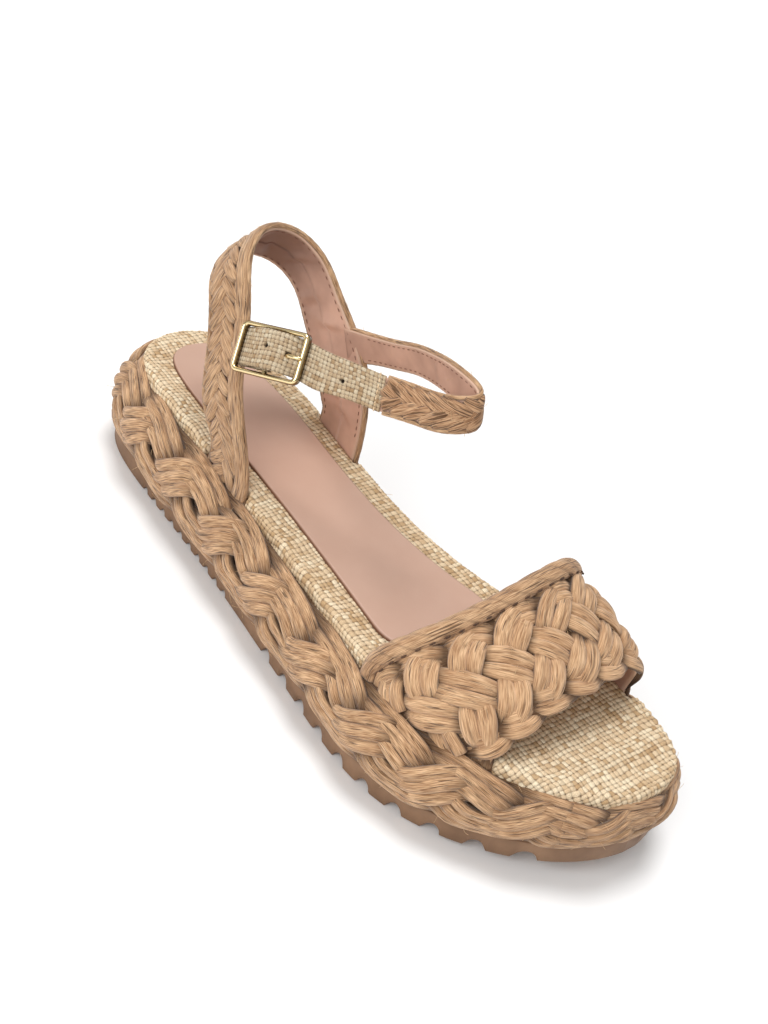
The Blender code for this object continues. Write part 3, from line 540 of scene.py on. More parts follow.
rubber, tree, shader = start_finish("sole_rubber", tint(130, 97, 70), 0.6)
dust = ramp(tree, object_noise(tree, 90, 4.0), (0.3, tint(116, 85, 60)), (0.7, tint(142, 108, 80)))
set_colour(tree, shader, dust)
raise_surface(tree, shader, object_noise(tree, 1400, 2.0), 0.08 * MM, 0.5)

gold, tree, shader = start_finish("pale_gold", tint(226, 200, 150), 0.2, metallic=1.0)
# Painted reflection: the face mark paints the gold from a dark reflection to a bright highlight
set_colour(tree, shader, blend(tree, mark(tree, "face"), tint(74, 54, 26), tint(238, 214, 164)))
wear = ramp(tree, object_noise(tree, 260, 3.0), (0.35, grey(0.12)), (0.7, grey(0.24)))
tree.links.new(wear, shader.inputs["Roughness"])


def thread_finish(name, light, deep):
    finish, tree, shader = start_finish(name, light, 0.7)
    twist = ramp(tree, object_noise(tree, 1800, 1.0), (0.35, deep), (0.65, light))
    set_colour(tree, shader, twist)
    return finish


pale_thread = thread_finish("pale_thread", tint(226, 200, 164), tint(190, 158, 120))
dark_thread = thread_finish("dark_thread", tint(92, 62, 40), tint(58, 38, 24))
red_brown_thread = thread_finish("red_brown_thread", tint(150, 110, 90), tint(118, 82, 64))
print("leather, rubber, gold and thread finishes ready")

# %% [markdown]
# The outsole is one moulding of brown rubber. Its tread shows from the side as fine teeth under the
# waist and broad scallops under the ball, with plain blocks between them. The grooves could be cut out with
# boolean tools, but that leaves ragged faces. A ring of points at about every half millimetre of the foot is
# enough to round each scallop, where the solid has only a few flats.

# %% Outsole
OUTSOLE_DRAFT = 0.7 * MM
SOLE_BEVEL = 0.5 * MM
SOLE_STEP = 0.55 * MM
SOLE_MARGIN, SOLE_ROUND = 0.2 * MM, 5 * MM
SCALLOP_FULLNESS = 0.6
Tread = namedtuple("Tread", "start end pitch depth land")
TREADS = (Tread(37.0, 100.0, 6.3, 2.0, 0.45), Tread(120.0, 238.0, 11.8, 3.4, 0.52))


def groove_depth(along):
    depth = np.zeros(len(along))
    for tread in TREADS:
        count = round((tread.end - tread.start) / tread.pitch)
        place = (along / MM - tread.start) / (tread.end - tread.start) * count
        share = (place - np.floor(place) - tread.land) / (1 - tread.land)
        scallop = np.sin(math.pi * np.clip(share, 0, 1)) ** SCALLOP_FULLNESS
        depth = np.maximum(depth, np.where((place > 0) & (place < count), tread.depth * MM * scallop, 0))
    return depth


sole_start = max(sole_outer[0, 1], sole_inner[0, 1]) + SOLE_MARGIN
sole_end = min(sole_outer[-1, 1], sole_inner[-1, 1]) - SOLE_MARGIN
round_end = SOLE_ROUND * (1 - np.cos(np.linspace(0, math.pi / 2, 10)))
sole_along = np.concatenate((sole_start + round_end[:-1],
                             np.arange(sole_start + SOLE_ROUND, sole_end - SOLE_ROUND, SOLE_STEP),
                             (sole_end - round_end[:-1])[::-1]))
right = np.interp(sole_along, sole_outer[:, 1], sole_outer[:, 0])
left = np.interp(sole_along, sole_inner[:, 1], sole_inner[:, 0])
floor_face = tread_height(sole_along)
tread_face = floor_face + groove_depth(sole_along)
top_face = floor_face + OUTSOLE_HEIGHT
draft = np.minimum(OUTSOLE_DRAFT, (right - left) / 4)
bevel = np.minimum(SOLE_BEVEL, (right - left) / 6)
ring = [(right - bevel, top_face), (right, top_face - bevel), (right - draft, tread_face + bevel),
        (right - draft - bevel, tread_face), (left + draft + bevel, tread_face),
        (left + draft, tread_face + bevel), (left, top_face - bevel), (left + bevel, top_face)]
rings = np.stack([np.column_stack((x, sole_along, z)) for x, z in ring], axis=1)
add_tubes("outsole_rubber", [plain_tube(rings)], rubber, ["outsole"])

# %% [markdown]
# The platform's wall is a thick four-strand plait of jute, wound once round the foot and closed at the
# toe. Each strand swings from the lower edge of the wall to the upper edge and back while it dives
# under every second strand it meets, so its path is a wave across the wall and a faster wave in depth.
# The wall's own surface comes first: it gives a point and an outward direction for any distance round
# the foot and any share of the wall's height.

# %% Wall of the platform
LIP_DROP = 3.0 * MM
INNER_EASE = 0.2
SHARE_NUDGE = 0.01
WallRow = namedtuple("WallRow", "share reach")
WALL_ROWS = (WallRow(0.0, 8.0), WallRow(0.07, 8.8), WallRow(0.19, 9.8), WallRow(0.31, 10.3),
             WallRow(0.43, 10.4), WallRow(0.55, 9.9), WallRow(0.67, 8.8), WallRow(0.79, 7.1),
             WallRow(0.9, 4.9), WallRow(1.0, 2.3))
WALL_TURNS = np.linspace(0, FULL_TURN, EDGE_SAMPLES)
WALL_RUN = running_length(grown_edge(WALL_TURNS, max(row.reach for row in WALL_ROWS) * MM))


def wall_point(run, share, sunk=0.0):
    """Point of the wall at a run round the foot and a share from -1, low, to 1, high."""
    turns = np.interp(np.mod(run, WALL_RUN[-1]), WALL_RUN, WALL_TURNS)
    halves = np.minimum(turns, FULL_TURN - turns)
    bulge = spline(SECTION_TURNS, [row.bulge for row in LAST_SECTIONS], halves)[:, 0]
    bulge = bulge * (1 - np.where(turns > math.pi, INNER_EASE * np.sin(halves) ** 2, 0))
    rise = (share + 1) / 2
    reach = spline([row.share for row in WALL_ROWS], column(WALL_ROWS, "reach"), np.clip(rise, 0, 1))[:, 0]
    edge = grown_edge(turns, bulge * reach - sunk)
    low = tread_height(edge[:, 1]) + OUTSOLE_HEIGHT
    high = rim_height(edge[:, 1]) - LIP_DROP
    return np.column_stack((edge, low + (high - low) * rise))


def wall_surface(run, share):
    ahead = wall_point(run + NUDGE, share) - wall_point(run - NUDGE, share)
    above = wall_point(run, share + SHARE_NUDGE) - wall_point(run, share - SHARE_NUDGE)
    return wall_point(run, share), unit(np.cross(ahead, above))


CORE_SUNK, CORE_BACK = 4.2 * MM, 14 * MM
CORE_RINGS, CORE_ROWS, CORE_SHADE = 260, 12, 0.5
core_runs = np.linspace(0, WALL_RUN[-1], CORE_RINGS + 1)[:-1]
core_shares = np.concatenate((np.linspace(-1, 1, CORE_ROWS), (1.0, -1.0)))
core_sunk = np.concatenate((np.full(CORE_ROWS, CORE_SUNK), (CORE_BACK, CORE_BACK)))
rings = np.stack([wall_point(core_runs, np.full(len(core_runs), share), sunk)
                  for share, sunk in zip(core_shares, core_sunk)], axis=1)
shaded = {name: np.full(rings.shape[:2], CORE_SHADE) for name in ("painted_groove_shade", "painted_buried_shade")}
add_tubes("platform_core", [plain_tube(rings, True, shaded)], jute_wall)
print("wall", round(WALL_RUN[-1], 4), "m round")

# %% [markdown]
# A strand is a few bundles of fibres side by side. Modelling every fibre would take far too many faces, so
# each bundle is a flattened tube. Grooves that drift along it part its fibres, its width and height drift a
# little too, as they do in hand work, and it gets narrower where it dives under another strand. The same
# tools serve the platform and the toe band, with other sizes.

# %% Strands and plaits
# A plait: number of strands, length of one turn of its edge, start of the pattern, middle and swing across
# the surface, how long a strand hugs the edge, droop where strands are small, favour of those that run one
# way, crispness of the dives, flatness of the edges, depth, wave in depth, flattened back, step and bundle
Plait = namedtuple("Plait", "strands bump shift middle swing hug droop favour crisp flat sink wave back step "
                            "bundle")
# A bundle: half its width and thickness, points round it, fine grooves beside the main one, painted shade
# on its flanks, narrowing where it dives, and the number of bundles in a strand
Bundle = namedtuple("Bundle", "half_width half_thick ring fibres flank leaf parts", defaults=(1,))
# Grooves of a bundle, measured across from -1 to 1, and lengths over which they bend and fade
SPLIT_WIDTH = 0.06
FIBRE_SPAN, FIBRE_WIDTH, FIBRE_DEPTHS = 0.92, 0.05, (0.2, 0.5)
GROOVE_DRIFT, GROOVE_BEND, GROOVE_FADE = 0.13, 26 * MM, 30 * MM
GROOVE_CUT, GROOVE_SHADE = 0.34, 0.75
TUBE_FULLNESS = 0.92
# Where the flanks and the buried parts of a strand get painted shade
FLANK_TOP, FLANK_FADE = 0.52, 0.6
BURIED_GAIN, BURIED_START = 2.2, 0.8
# Drifts of a strand and of its bundles, which fade out at the ends of a plait
CALM_LENGTH = 25 * MM
RUN_DRIFT, SWING_DRIFT, RISE_DRIFT, ASIDE_DRIFT = 0.05, 0.06, 0.25, 0.12
EDGE_START, EDGE_TAPER, EDGE_DROP = 0.6, 0.14, 0.3
BUNDLE_SPACING, BUNDLE_DROP = 0.88, 0.22


def strand_grooves(flat, run, bundle, seed):
    """Depth from 0 to 1 of the grooves between fibres, for each ring point along a bundle."""
    picks = np.random.default_rng(seed)
    depth = np.zeros((len(run), len(flat)))
    lines = [(0.0, SPLIT_WIDTH, 1.0)]
    lines += [(picks.uniform(-FIBRE_SPAN, FIBRE_SPAN), FIBRE_WIDTH, picks.uniform(*FIBRE_DEPTHS))
              for _ in range(bundle.fibres)]
    for number, (place, width, most) in enumerate(lines):
        drift = place + GROOVE_DRIFT * wander(run, GROOVE_BEND, seed + 31 * number)
        fade = wander(run, GROOVE_FADE, seed + 57 * number + 5)
        amount = most * np.clip(0.55 + 0.6 * fade, 0.05, 1)
        shape = np.exp(-((flat[None, :] - drift[:, None]) / width) ** 2)
        depth = np.maximum(depth, amount[:, None] * shape)
    return depth


def strand_tube(centre, outward, depth_share, bundle, seed, taper=1.0):
    """Flattened tube along a bundle, marked with painted shade for its grooves, its flanks and how deep it
    lies.
    """
    run = running_length(centre)
    ahead = unit(np.gradient(centre, axis=0))
    side = unit(np.cross(outward, ahead))
    above = np.cross(ahead, side)
    angle = np.linspace(0, FULL_TURN, bundle.ring, endpoint=False)
    flat = np.cos(angle)
    high = np.sign(np.sin(angle)) * np.abs(np.sin(angle)) ** TUBE_FULLNESS
    grooves = strand_grooves(flat, run, bundle, seed)
    narrow = bundle.leaf * depth_share
    width = bundle.half_width * taper * (1 + 0.08 * wander(run, 30 * MM, seed + 3) - narrow)
    thick = bundle.half_thick * taper * (1 + 0.1 * wander(run, 22 * MM, seed + 4))
    rings = centre[:, None] + side[:, None] * (width[:, None] * flat)[:, :, None]
    rings = rings + above[:, None] * (thick[:, None] * high * (1 - GROOVE_CUT * grooves))[:, :, None]
    # Painted shade: the lower flanks, the grooves and the parts that dive under other strands are marked
    # darker
    flank = bundle.flank * ease((FLANK_TOP - high) / FLANK_FADE)
    painted_buried_shade = np.clip(depth_share * BURIED_GAIN - BURIED_START, 0, 1)
    marks = {
        "painted_groove_shade": np.clip(GROOVE_SHADE * grooves + flank, 0, 1),
        "painted_buried_shade": np.repeat(painted_buried_shade[:, None], bundle.ring, axis=1),
    }
    return Tube(rings, run, ring_girth(rings), False, marks)


def plait_strands(plan, surface, start, end, seed, size=None):
    """Strands of a flat plait laid on a surface, from one run to another."""
    tubes = []
    period = plan.strands * plan.bump
    phase = np.sin if plan.strands % 2 else np.cos
    run = np.linspace(start, end, max(8, round((end - start) / plan.step)))
    scale = np.ones(len(run)) if size is None else size(run)
    calm = ease(np.minimum(run - start, end - run) / CALM_LENGTH)
    for strand in range(plan.strands):
        own_seed = seed + 101 * strand
        drift = RUN_DRIFT * plan.bump * calm * wander(run, 70 * MM, own_seed)
        angle = FULL_TURN * ((run + drift + plan.shift) / period + strand / plan.strands)
        swing = np.tanh(plan.hug * np.sin(angle)) / math.tanh(plan.hug)
        swing = swing + SWING_DRIFT * calm * wander(run, 45 * MM, own_seed + 7)
        share = plan.middle - plan.droop * (1 - scale) + plan.swing * swing
        level = phase((plan.strands - 1) * angle) - plan.favour * np.cos(angle)
        level = np.tanh(plan.crisp * level) / math.tanh(plan.crisp)
        foot, outward = surface(run, share)
        edge = ease((np.abs(swing) - EDGE_START) / (1 - EDGE_START))
        level = level * (1 - plan.flat * edge)
        taper = scale * (1 - EDGE_TAPER * edge)
        across = unit(np.cross(outward, unit(np.gradient(foot, axis=0))))
        dive = 0.5 - 0.5 * level
        spread = plan.bundle.half_width * taper * (1 - plan.bundle.leaf * dive)
        for part in range(plan.bundle.parts):
            place = 2 * part - plan.bundle.parts + 1
            rise = wander(run, 34 * MM, own_seed + 2 + 13 * part) * calm * RISE_DRIFT
            rise = rise - BUNDLE_DROP * abs(place) - EDGE_DROP * edge
            lift = scale * (plan.wave * level - plan.sink + plan.bundle.half_thick * rise)
            stray = ASIDE_DRIFT * calm * wander(run, 40 * MM, own_seed + 5 + 13 * part)
            aside = spread * (BUNDLE_SPACING * place + stray)
            centre = foot + outward * lift[:, None] + across * aside[:, None]
            tube = strand_tube(centre, outward, dive, plan.bundle, own_seed + 17 * part, taper)
            height = np.einsum("ijk,ik->ij", tube.rings - foot[:, None], outward)
            raised = np.maximum(-plan.back - height, 0)[..., None]
            tubes.append(tube._replace(rings=tube.rings + outward[:, None] * raised))
    return tubes


print("plait tools ready")

# %% [markdown]
# The platform's plait has twenty-one turns of its edge round the foot, and each strand is three bundles
# broad. The strands hug the edges of the wall for a while and cross its middle steeply, which the flattened
# wave gives. Towards the toe the wall gets lower, so the strands get smaller and droop over the edge of the
# sole. The random drifts fade out where the plait closes on itself, on the outer side of the toe, so the
# ends of the strands meet.

# %% Platform plait
PLAIT_SEAM, SEAM_LAP = 286 * MM, 0.6 * MM
WALL_HEIGHT, HEIGHT_SHARES = 26 * MM, (0.4, 1.05)
LEAST_SIZE = 0.48
PLATFORM_TURNS, PLATFORM_SEED = 21, 400


def wall_size(run):
    """Size of the strands as a share of their size at the heel, smaller where the wall is lower."""
    ends = np.ones(len(run))
    height = (wall_point(run, ends) - wall_point(run, -ends))[:, 2]
    return LEAST_SIZE + (1 - LEAST_SIZE) * np.clip(height / WALL_HEIGHT, *HEIGHT_SHARES)


platform_bundle = Bundle(half_width=2.5 * MM, half_thick=1.9 * MM, ring=22, fibres=3, flank=0.9,
                         leaf=0.1, parts=3)
platform_plait = Plait(strands=4, bump=WALL_RUN[-1] / PLATFORM_TURNS, shift=0.0, middle=0.07, swing=0.67,
                       hug=1.7, droop=0.45, favour=0.4, crisp=1.2, flat=0.55, sink=1.9 * MM, wave=1.7 * MM,
                       back=9.0 * MM, step=1.9 * MM, bundle=platform_bundle)
strands = plait_strands(platform_plait, wall_surface, PLAIT_SEAM - SEAM_LAP,
                        PLAIT_SEAM + WALL_RUN[-1] + SEAM_LAP, PLATFORM_SEED, wall_size)
platform_piece = add_tubes("platform_plait", strands, jute_wall, ["platform"])

# %% [markdown]
# The straw cloth's threads are broad and flat, and each float casts a small shadow. A bump in the finish
# alone would look printed, so the floats are raised in the mesh. Their height is a formula of the place on
# the flat cloth, so the same weave serves the footbed, the strap end and the buckle's loop.

# %% Weave
WARP_PITCH, WEFT_PITCH = 1.9 * MM, 1.7 * MM


def thread_rise(own, other, turn):
    """Height of the threads counted by own, which rise over every second one counted by other."""
    share = own - np.floor(own)
    lift = FLOAT_LEVEL + FLOAT_SWING * turn * np.cos(math.pi * (other - 0.5 - np.floor(own)))
    return np.sqrt(4 * share * (1 - share)) * lift


def weave(across, along, warp=WARP_PITCH, weft=WEFT_PITCH, slack=0.26):
    """Height of a plain weave from 0 to 1, and the count of threads both ways, at places on the cloth."""
    warp_count = across / warp + slack * (wander(along, 15 * MM, 61) + wander(across, 9 * MM, 63))
    weft_count = along / weft + slack * (wander(across, 13 * MM, 62) + wander(along, 8 * MM, 64))
    height = np.maximum(thread_rise(warp_count, weft_count, 1), thread_rise(weft_count, warp_count, -1))
    return height, warp_count, weft_count


def cloth_marks(rows, pit=None):
    """Marks for the finish from pairs of thread counts, one pair for each face of a ring."""
    marks = {name: np.concatenate([pair[number] for pair in rows], axis=1)
             for number, name in enumerate(("warp", "weft"))}
    marks["pit"] = np.zeros(marks["warp"].shape) if pit is None else pit
    return marks


print("weave of", round(WARP_PITCH / MM, 2), "by", round(WEFT_PITCH / MM, 2), "mm")

# %% [markdown]
# The footbed is a board covered in that cloth, which is pulled over its edge and tucked behind the plait. A
# cloth simulation could drape it, but it would be slow and hard to place. Rings of points that follow the
# outline inwards are exact, while the threads stay straight on the flat cloth. Small pleats gather it where
# the edge turns tightly at the toe, and notches leave room for the band and the straps.

# %% Footbed cloth
FOOTBED_HEIGHT = 6.5 * MM
BAND_WALL, STRAP_WALL = 3.4 * MM, 2.4 * MM
BAND_OUTER_ALONG, BAND_INNER_ALONG = (169.5, 218.5), (170.5, 214.5)
HEEL_OUTER_ALONG, HEEL_INNER_ALONG = (65.5, 88.5), (61.0, 86.0)
NOTCH_EASE = 1.5 * MM
BAND_PRESS = 3.5
CLOTH_STEP, CLOTH_RINGS, ROLL_STEPS = 0.42 * MM, 1480, 8
CLOTH_RAISE, FLOAT_MIDDLE, CLOTH_WALL = 0.5 * MM, 0.7, 2 * MM
CLOTH_ROLL = 1.9 * MM
CLOTH_LIP = 3.6 * MM
CLOTH_INSET = 12.0 * MM
SOCK_INSET = 10.3 * MM
PLEAT_PITCH, PLEAT_DEPTH, PLEAT_REACH = 3.4 * MM, 0.28 * MM, 3 * MM
PLEAT_START, PLEAT_FADE, PLEAT_LEAST = 0.2, 0.025, 0.15


def notch_depth(turns):
    """How far the footbed's edge is cut back where a strap or the toe band is tucked in."""
    along = last_edge(turns)[:, 1]
    depth = np.zeros(len(turns))
    band_outer = BAND_OUTER_ALONG[0], BAND_OUTER_ALONG[1] - BAND_PRESS
    notches = ((band_outer, True, BAND_WALL), (BAND_INNER_ALONG, False, BAND_WALL),
               (HEEL_OUTER_ALONG, True, STRAP_WALL), (HEEL_INNER_ALONG, False, STRAP_WALL))
    for (start, end), on_outer_side, wall in notches:
        past = np.maximum(start * MM - along, along - end * MM)
        share = np.clip(1 - (past - NOTCH_EASE) / NOTCH_EASE, 0, 1)
        same_side = (turns <= math.pi) == on_outer_side
        depth = np.maximum(depth, np.where(same_side, ease(share) * wall, 0))
    return depth


def bed_height(along, inset):
    """Height of the footbed's top at a distance in from its edge."""
    share = np.clip(inset / SOCK_INSET, 0, 1)
    return rim_height(along) - section_value("dish", along) / 2 * share


cloth_turns = even_turns(CLOTH_RINGS)
cut = notch_depth(cloth_turns)
corner = np.linspace(0, math.pi / 2, ROLL_STEPS)
lip = np.linspace(CLOTH_LIP, 0, ROLL_STEPS, endpoint=False)
roll_arc = CLOTH_ROLL * corner
insets = np.arange(CLOTH_ROLL, CLOTH_INSET, CLOTH_STEP)
profile = [(0.0, -CLOTH_ROLL - drop, roll_arc[-1] + drop) for drop in lip]
profile += [(CLOTH_ROLL * (1 - math.cos(a)), CLOTH_ROLL * (math.sin(a) - 1), roll_arc[-1] - CLOTH_ROLL * a)
            for a in corner[:-1]]
profile += [(inset, 0.0, CLOTH_ROLL - inset) for inset in insets]
rows, lay_rows = [], []
for inset, drop, cloth_place in profile:
    edge = grown_edge(cloth_turns, -cut - inset)
    rows.append(np.column_stack((edge, bed_height(edge[:, 1], cut + inset) + drop)))
    lay_rows.append(grown_edge(cloth_turns, -cut - CLOTH_ROLL + cloth_place))
sheet, flat_cloth = np.stack(rows, axis=1), np.stack(lay_rows, axis=1)
height, warp_count, weft_count = weave(flat_cloth[..., 0], flat_cloth[..., 1])
edge_run = running_length(last_edge(cloth_turns))[:, None]
pleat_share = np.array([math.exp(-(place / PLEAT_REACH) ** 2) for _, _, place in profile])[None, :]
toe_share = ease((sheet[..., 1] - PLEAT_START) / PLEAT_FADE)
pleats = PLEAT_DEPTH * pleat_share * (PLEAT_LEAST + (1 - PLEAT_LEAST) * toe_share) * np.sin(
    FULL_TURN * edge_run / PLEAT_PITCH + 1.5 * wander(edge_run, 21 * MM, 77))
sheet = sheet - grid_normals(sheet) * (CLOTH_RAISE * (height - FLOAT_MIDDLE) + pleats)[..., None]
under = sheet[:, (-1, 0)] - np.array((0, 0, CLOTH_WALL))
rings = np.concatenate((sheet, under), axis=1)
counts = warp_count, weft_count
marks = cloth_marks((counts, [count[:, (-1, 0)] for count in counts]))
add_tubes("footbed_cloth_edge", [plain_tube(rings, True, marks)], straw, ["footbed"])

# %% [markdown]
# In front of the sock the cloth covers the whole width of the board. That part is a second sheet, laid
# in strips from the outer side to the inner side inside the border, on the same flat cloth, so the
# threads run through from one sheet to the other.

# %% Footbed cloth under the toes
TOE_CLOTH_START = 152 * MM
TOE_CLOTH_COLUMNS, TOE_CLOTH_LEAST, TOE_CLOTH_WALL = 118, 1 * MM, 1.2 * MM
half = cloth_turns[:len(cloth_turns) // 2]
inset = CLOTH_INSET - CLOTH_STEP
outer, inner = grown_edge(half, -inset), grown_edge(FULL_TURN - half, -inset)
keep = (outer[:, 1] > TOE_CLOTH_START) & (outer[:, 0] - inner[:, 0] > TOE_CLOTH_LEAST)
outer, inner = outer[keep], inner[keep]
share = np.linspace(0, 1, TOE_CLOTH_COLUMNS)[None, :, None]
flat_cloth = outer[:, None] * (1 - share) + inner[:, None] * share
along = flat_cloth[..., 1].ravel()
dish = section_value("dish", along) * (0.5 + 0.5 * np.ravel(
    np.repeat(1 - (2 * share[..., 0] - 1) ** 2, len(outer), axis=0)))
sheet = np.dstack((flat_cloth, (rim_height(along) - dish).reshape(flat_cloth.shape[:2])))
height, *counts = weave(flat_cloth[..., 0], flat_cloth[..., 1])
normals = grid_normals(sheet)
normals = normals * np.sign(normals[..., 2:])
top = sheet + normals * (CLOTH_RAISE * (height - FLOAT_MIDDLE))[..., None]
bottom = sheet - np.array((0, 0, TOE_CLOTH_WALL))
rings = np.concatenate((top, bottom[:, ::-1]), axis=1)
marks = cloth_marks((counts, [count[:, ::-1] for count in counts]))
add_tubes("footbed_cloth_toe", [plain_tube(rings, False, marks)], straw)

# %% [markdown]
# The sock is the smooth leather pad under the foot, glued down inside the cloth border, with a rounded
# front. It dips with the footbed, and its face has a few soft hollows where the glue pulled it down. A plane
# with thickness would look like card. Rows of points across the foot, close together at both sides, let the
# face round off into its thin dark cut edge.

# %% Sock
SOCK_THICKNESS, SOCK_LIFT = 0.9 * MM, 0.3 * MM
SOCK_FRONT, SOCK_CORNER = 173 * MM, 16 * MM
SOCK_COLUMNS, SOCK_STEP, SOCK_HEEL = 40, 1.5 * MM, 9 * MM
SOCK_UNDER, SOCK_CUT = 0.8 * MM, 0.55 * MM
SOCK_ROUND, SOCK_ROUND_WIDTH = 0.45 * MM, 0.8 * MM
HOLLOW_DEPTH, HOLLOW_MARGIN = 0.22 * MM, 6 * MM
sock_halves = np.linspace(NUDGE, math.pi - NUDGE, 900)
outer, inner = grown_edge(sock_halves, -SOCK_INSET), grown_edge(FULL_TURN - sock_halves, -SOCK_INSET)
back = max(outer[0, 1], inner[0, 1]) + 0.02 * MM
heel_rows = back + SOCK_HEEL * (1 - np.cos(np.linspace(0.04, math.pi / 2, 16)))
front_rows = SOCK_FRONT - SOCK_CORNER + SOCK_CORNER * np.sin(np.linspace(0, 0.97 * math.pi / 2, 18))
middle_rows = np.arange(heel_rows[-1] + SOCK_STEP, front_rows[0], SOCK_STEP)
sock_along = np.concatenate((heel_rows, middle_rows, front_rows))
right = np.interp(sock_along, outer[:, 1], outer[:, 0])
left = np.interp(sock_along, inner[:, 1], inner[:, 0])
past = np.clip((sock_along - SOCK_FRONT + SOCK_CORNER) / SOCK_CORNER, 0, 1)
half_width = (right - left) / 2 - SOCK_CORNER * (1 - np.sqrt(1 - past ** 2))
middle = (right + left) / 2
across = np.sin(np.linspace(-math.pi / 2, math.pi / 2, SOCK_COLUMNS))
x = middle[:, None] + half_width[:, None] * across
y = np.repeat(sock_along[:, None], SOCK_COLUMNS, axis=1)
dish = section_value("dish", sock_along)[:, None] * (0.5 + 0.5 * (1 - across[None, :] ** 2))
base = rim_height(sock_along)[:, None] - dish + SOCK_LIFT
from_edge = half_width[:, None] * (1 - np.abs(across))
rounded = SOCK_ROUND * np.clip(1 - from_edge / SOCK_ROUND_WIDTH, 0, 1) ** 2
hollows = HOLLOW_DEPTH * wander(x + 0.4 * y, 38 * MM, 91) * wander(y, 60 * MM, 92)
hollows = hollows * ease(from_edge / HOLLOW_MARGIN)
top = np.dstack((x, y, base + SOCK_THICKNESS - rounded + hollows))
bottom = np.dstack((x, y, base - SOCK_UNDER))
edge_mark = np.clip(1 - from_edge / SOCK_CUT, 0, 1)
rings = np.concatenate((top, bottom[:, ::-1]), axis=1)
marks = {"edge": np.concatenate((edge_mark, np.ones_like(edge_mark)), axis=1)}
add_tubes("sock_pad", [plain_tube(rings, False, marks)], sock_leather, ["sock"])

# %% [markdown]
# The toe band is a broad plait of six strands over the foot, wider than it is thick, lined with leather
# and tucked between the cloth and the platform at both sides. Its arch is drawn by six sections, each
# from the back edge to the front edge, and the strands are laid on the surface through them.

# %% Toe band surface
BAND_CENTRE_HEIGHT = 20 * MM
ROOT_LIFT = 0.3 * MM
Arch = namedtuple("Arch", "back_across back_along back_up front_across front_along front_up belly")
BAND_ARCH = (
    Arch(40.8, 174.0, 45.0, 28.0, 219.5, 42.0, 2.4),
    Arch(30.0, 180.0, 54.8, 18.0, 219.5, 47.2, 1.8),
    Arch(10.0, 183.5, 64.0, 4.0, 219.0, 50.8, 1.2),
    Arch(-12.0, 183.8, 69.6, -13.0, 218.5, 52.6, 1.2),
    Arch(-25.0, 180.5, 62.5, -26.5, 217.0, 51.4, 1.6),
    Arch(-30.3, 175.0, 48.0, -35.0, 215.8, 44.0, 1.8),
)


def edge_row(along, on_outer_side, height):
    half = half_turn(along)
    edge = last_edge(half if on_outer_side else FULL_TURN - half)
    return np.column_stack((edge, height))


def tucked_rows(span, share, on_outer_side):
    """Rows at the root and at the rim of a band or strap, at shares of its width."""
    along = (span[0] + (span[1] - span[0]) * share) * MM
    root = edge_row(along, on_outer_side, rim_height(along) - FOOTBED_HEIGHT + ROOT_LIFT)
    return root, edge_row(along, on_outer_side, rim_height(along))


def grid_surface(grid, run, share):
    """Reader of points and outward directions on a grid, for runs along it and shares across it."""
    normals = grid_normals(grid)

    def read(at_run, at_share):
        i = np.clip(np.searchsorted(run, at_run) - 1, 0, len(run) - 2)
        j = np.clip(np.searchsorted(share, at_share) - 1, 0, len(share) - 2)
        a = ((at_run - run[i]) / (run[i + 1] - run[i]))[:, None]
        b = ((at_share - share[j]) / (share[j + 1] - share[j]))[:, None]
        values = []
        for table in (grid, normals):
            near = table[i, j] * (1 - b) + table[i, j + 1] * b
            far = table[i + 1, j] * (1 - b) + table[i + 1, j + 1] * b
            values.append(near * (1 - a) + far * a)
        return values[0], unit(values[1])

    return read


band_share = np.linspace(-0.06, 1.06, 57)
outer_tuck = tucked_rows(BAND_OUTER_ALONG, band_share, True)
inner_tuck = tucked_rows(BAND_INNER_ALONG, band_share, False)
rows = [*outer_tuck]
for arch in BAND_ARCH:
    back = np.array((arch.back_across, arch.back_along, arch.back_up)) * MM
    front = np.array((arch.front_across, arch.front_along, arch.front_up)) * MM
    line = back + (front - back) * band_share[:, None]
    centre = np.array((0.0, line[:, 1].mean(), BAND_CENTRE_HEIGHT))
    outward = unit((line - centre) * (1, 0, 1))
    rows.append(line + outward * (arch.belly * MM * 4 * band_share * (1 - band_share))[:, None])
rows = np.array([*rows, *reversed(inner_tuck)])
band_knots = running_length(rows[:, len(band_share) // 2])
band_run = np.linspace(0, band_knots[-1], 240)
band_grid = spline(band_knots, rows.reshape(len(rows), -1), band_run).reshape(len(band_run), -1, 3)
band_surface = grid_surface(band_grid, band_run, 2 * band_share - 1)
print("toe band", round(band_knots[-1], 4), "m from root to root")

# %% [markdown]
# The strands of the band lie on that surface, made with the same tools as the platform's plait but finer.
# Light would shine through the gaps between them, so a thin core in the same jute backs them, and a leather
# lining faces the foot. Thin walls behind one grid keep all these layers at their right distances.

# %% Toe band plait and lining
BAND_TURNS, BAND_SEED, BAND_MARGIN = 8, 900, 0.3 * MM
band_bundle = Bundle(half_width=2.9 * MM, half_thick=1.8 * MM, ring=32, fibres=4, flank=0.95, leaf=0.2,
                     parts=2)
band_plait = Plait(strands=6, bump=band_knots[-1] / BAND_TURNS, shift=6.5 * MM, middle=0.04, swing=0.76,
                   hug=0.8, droop=0.0, favour=0.3, crisp=1.3, flat=0.3, sink=1.3 * MM, wave=1.2 * MM,
                   back=3.0 * MM, step=1.0 * MM, bundle=band_bundle)
strands = plait_strands(band_plait, band_surface, BAND_MARGIN, band_knots[-1] - BAND_MARGIN, BAND_SEED)
band_piece = add_tubes("toe_band_plait", strands, jute, ["toe_band"])


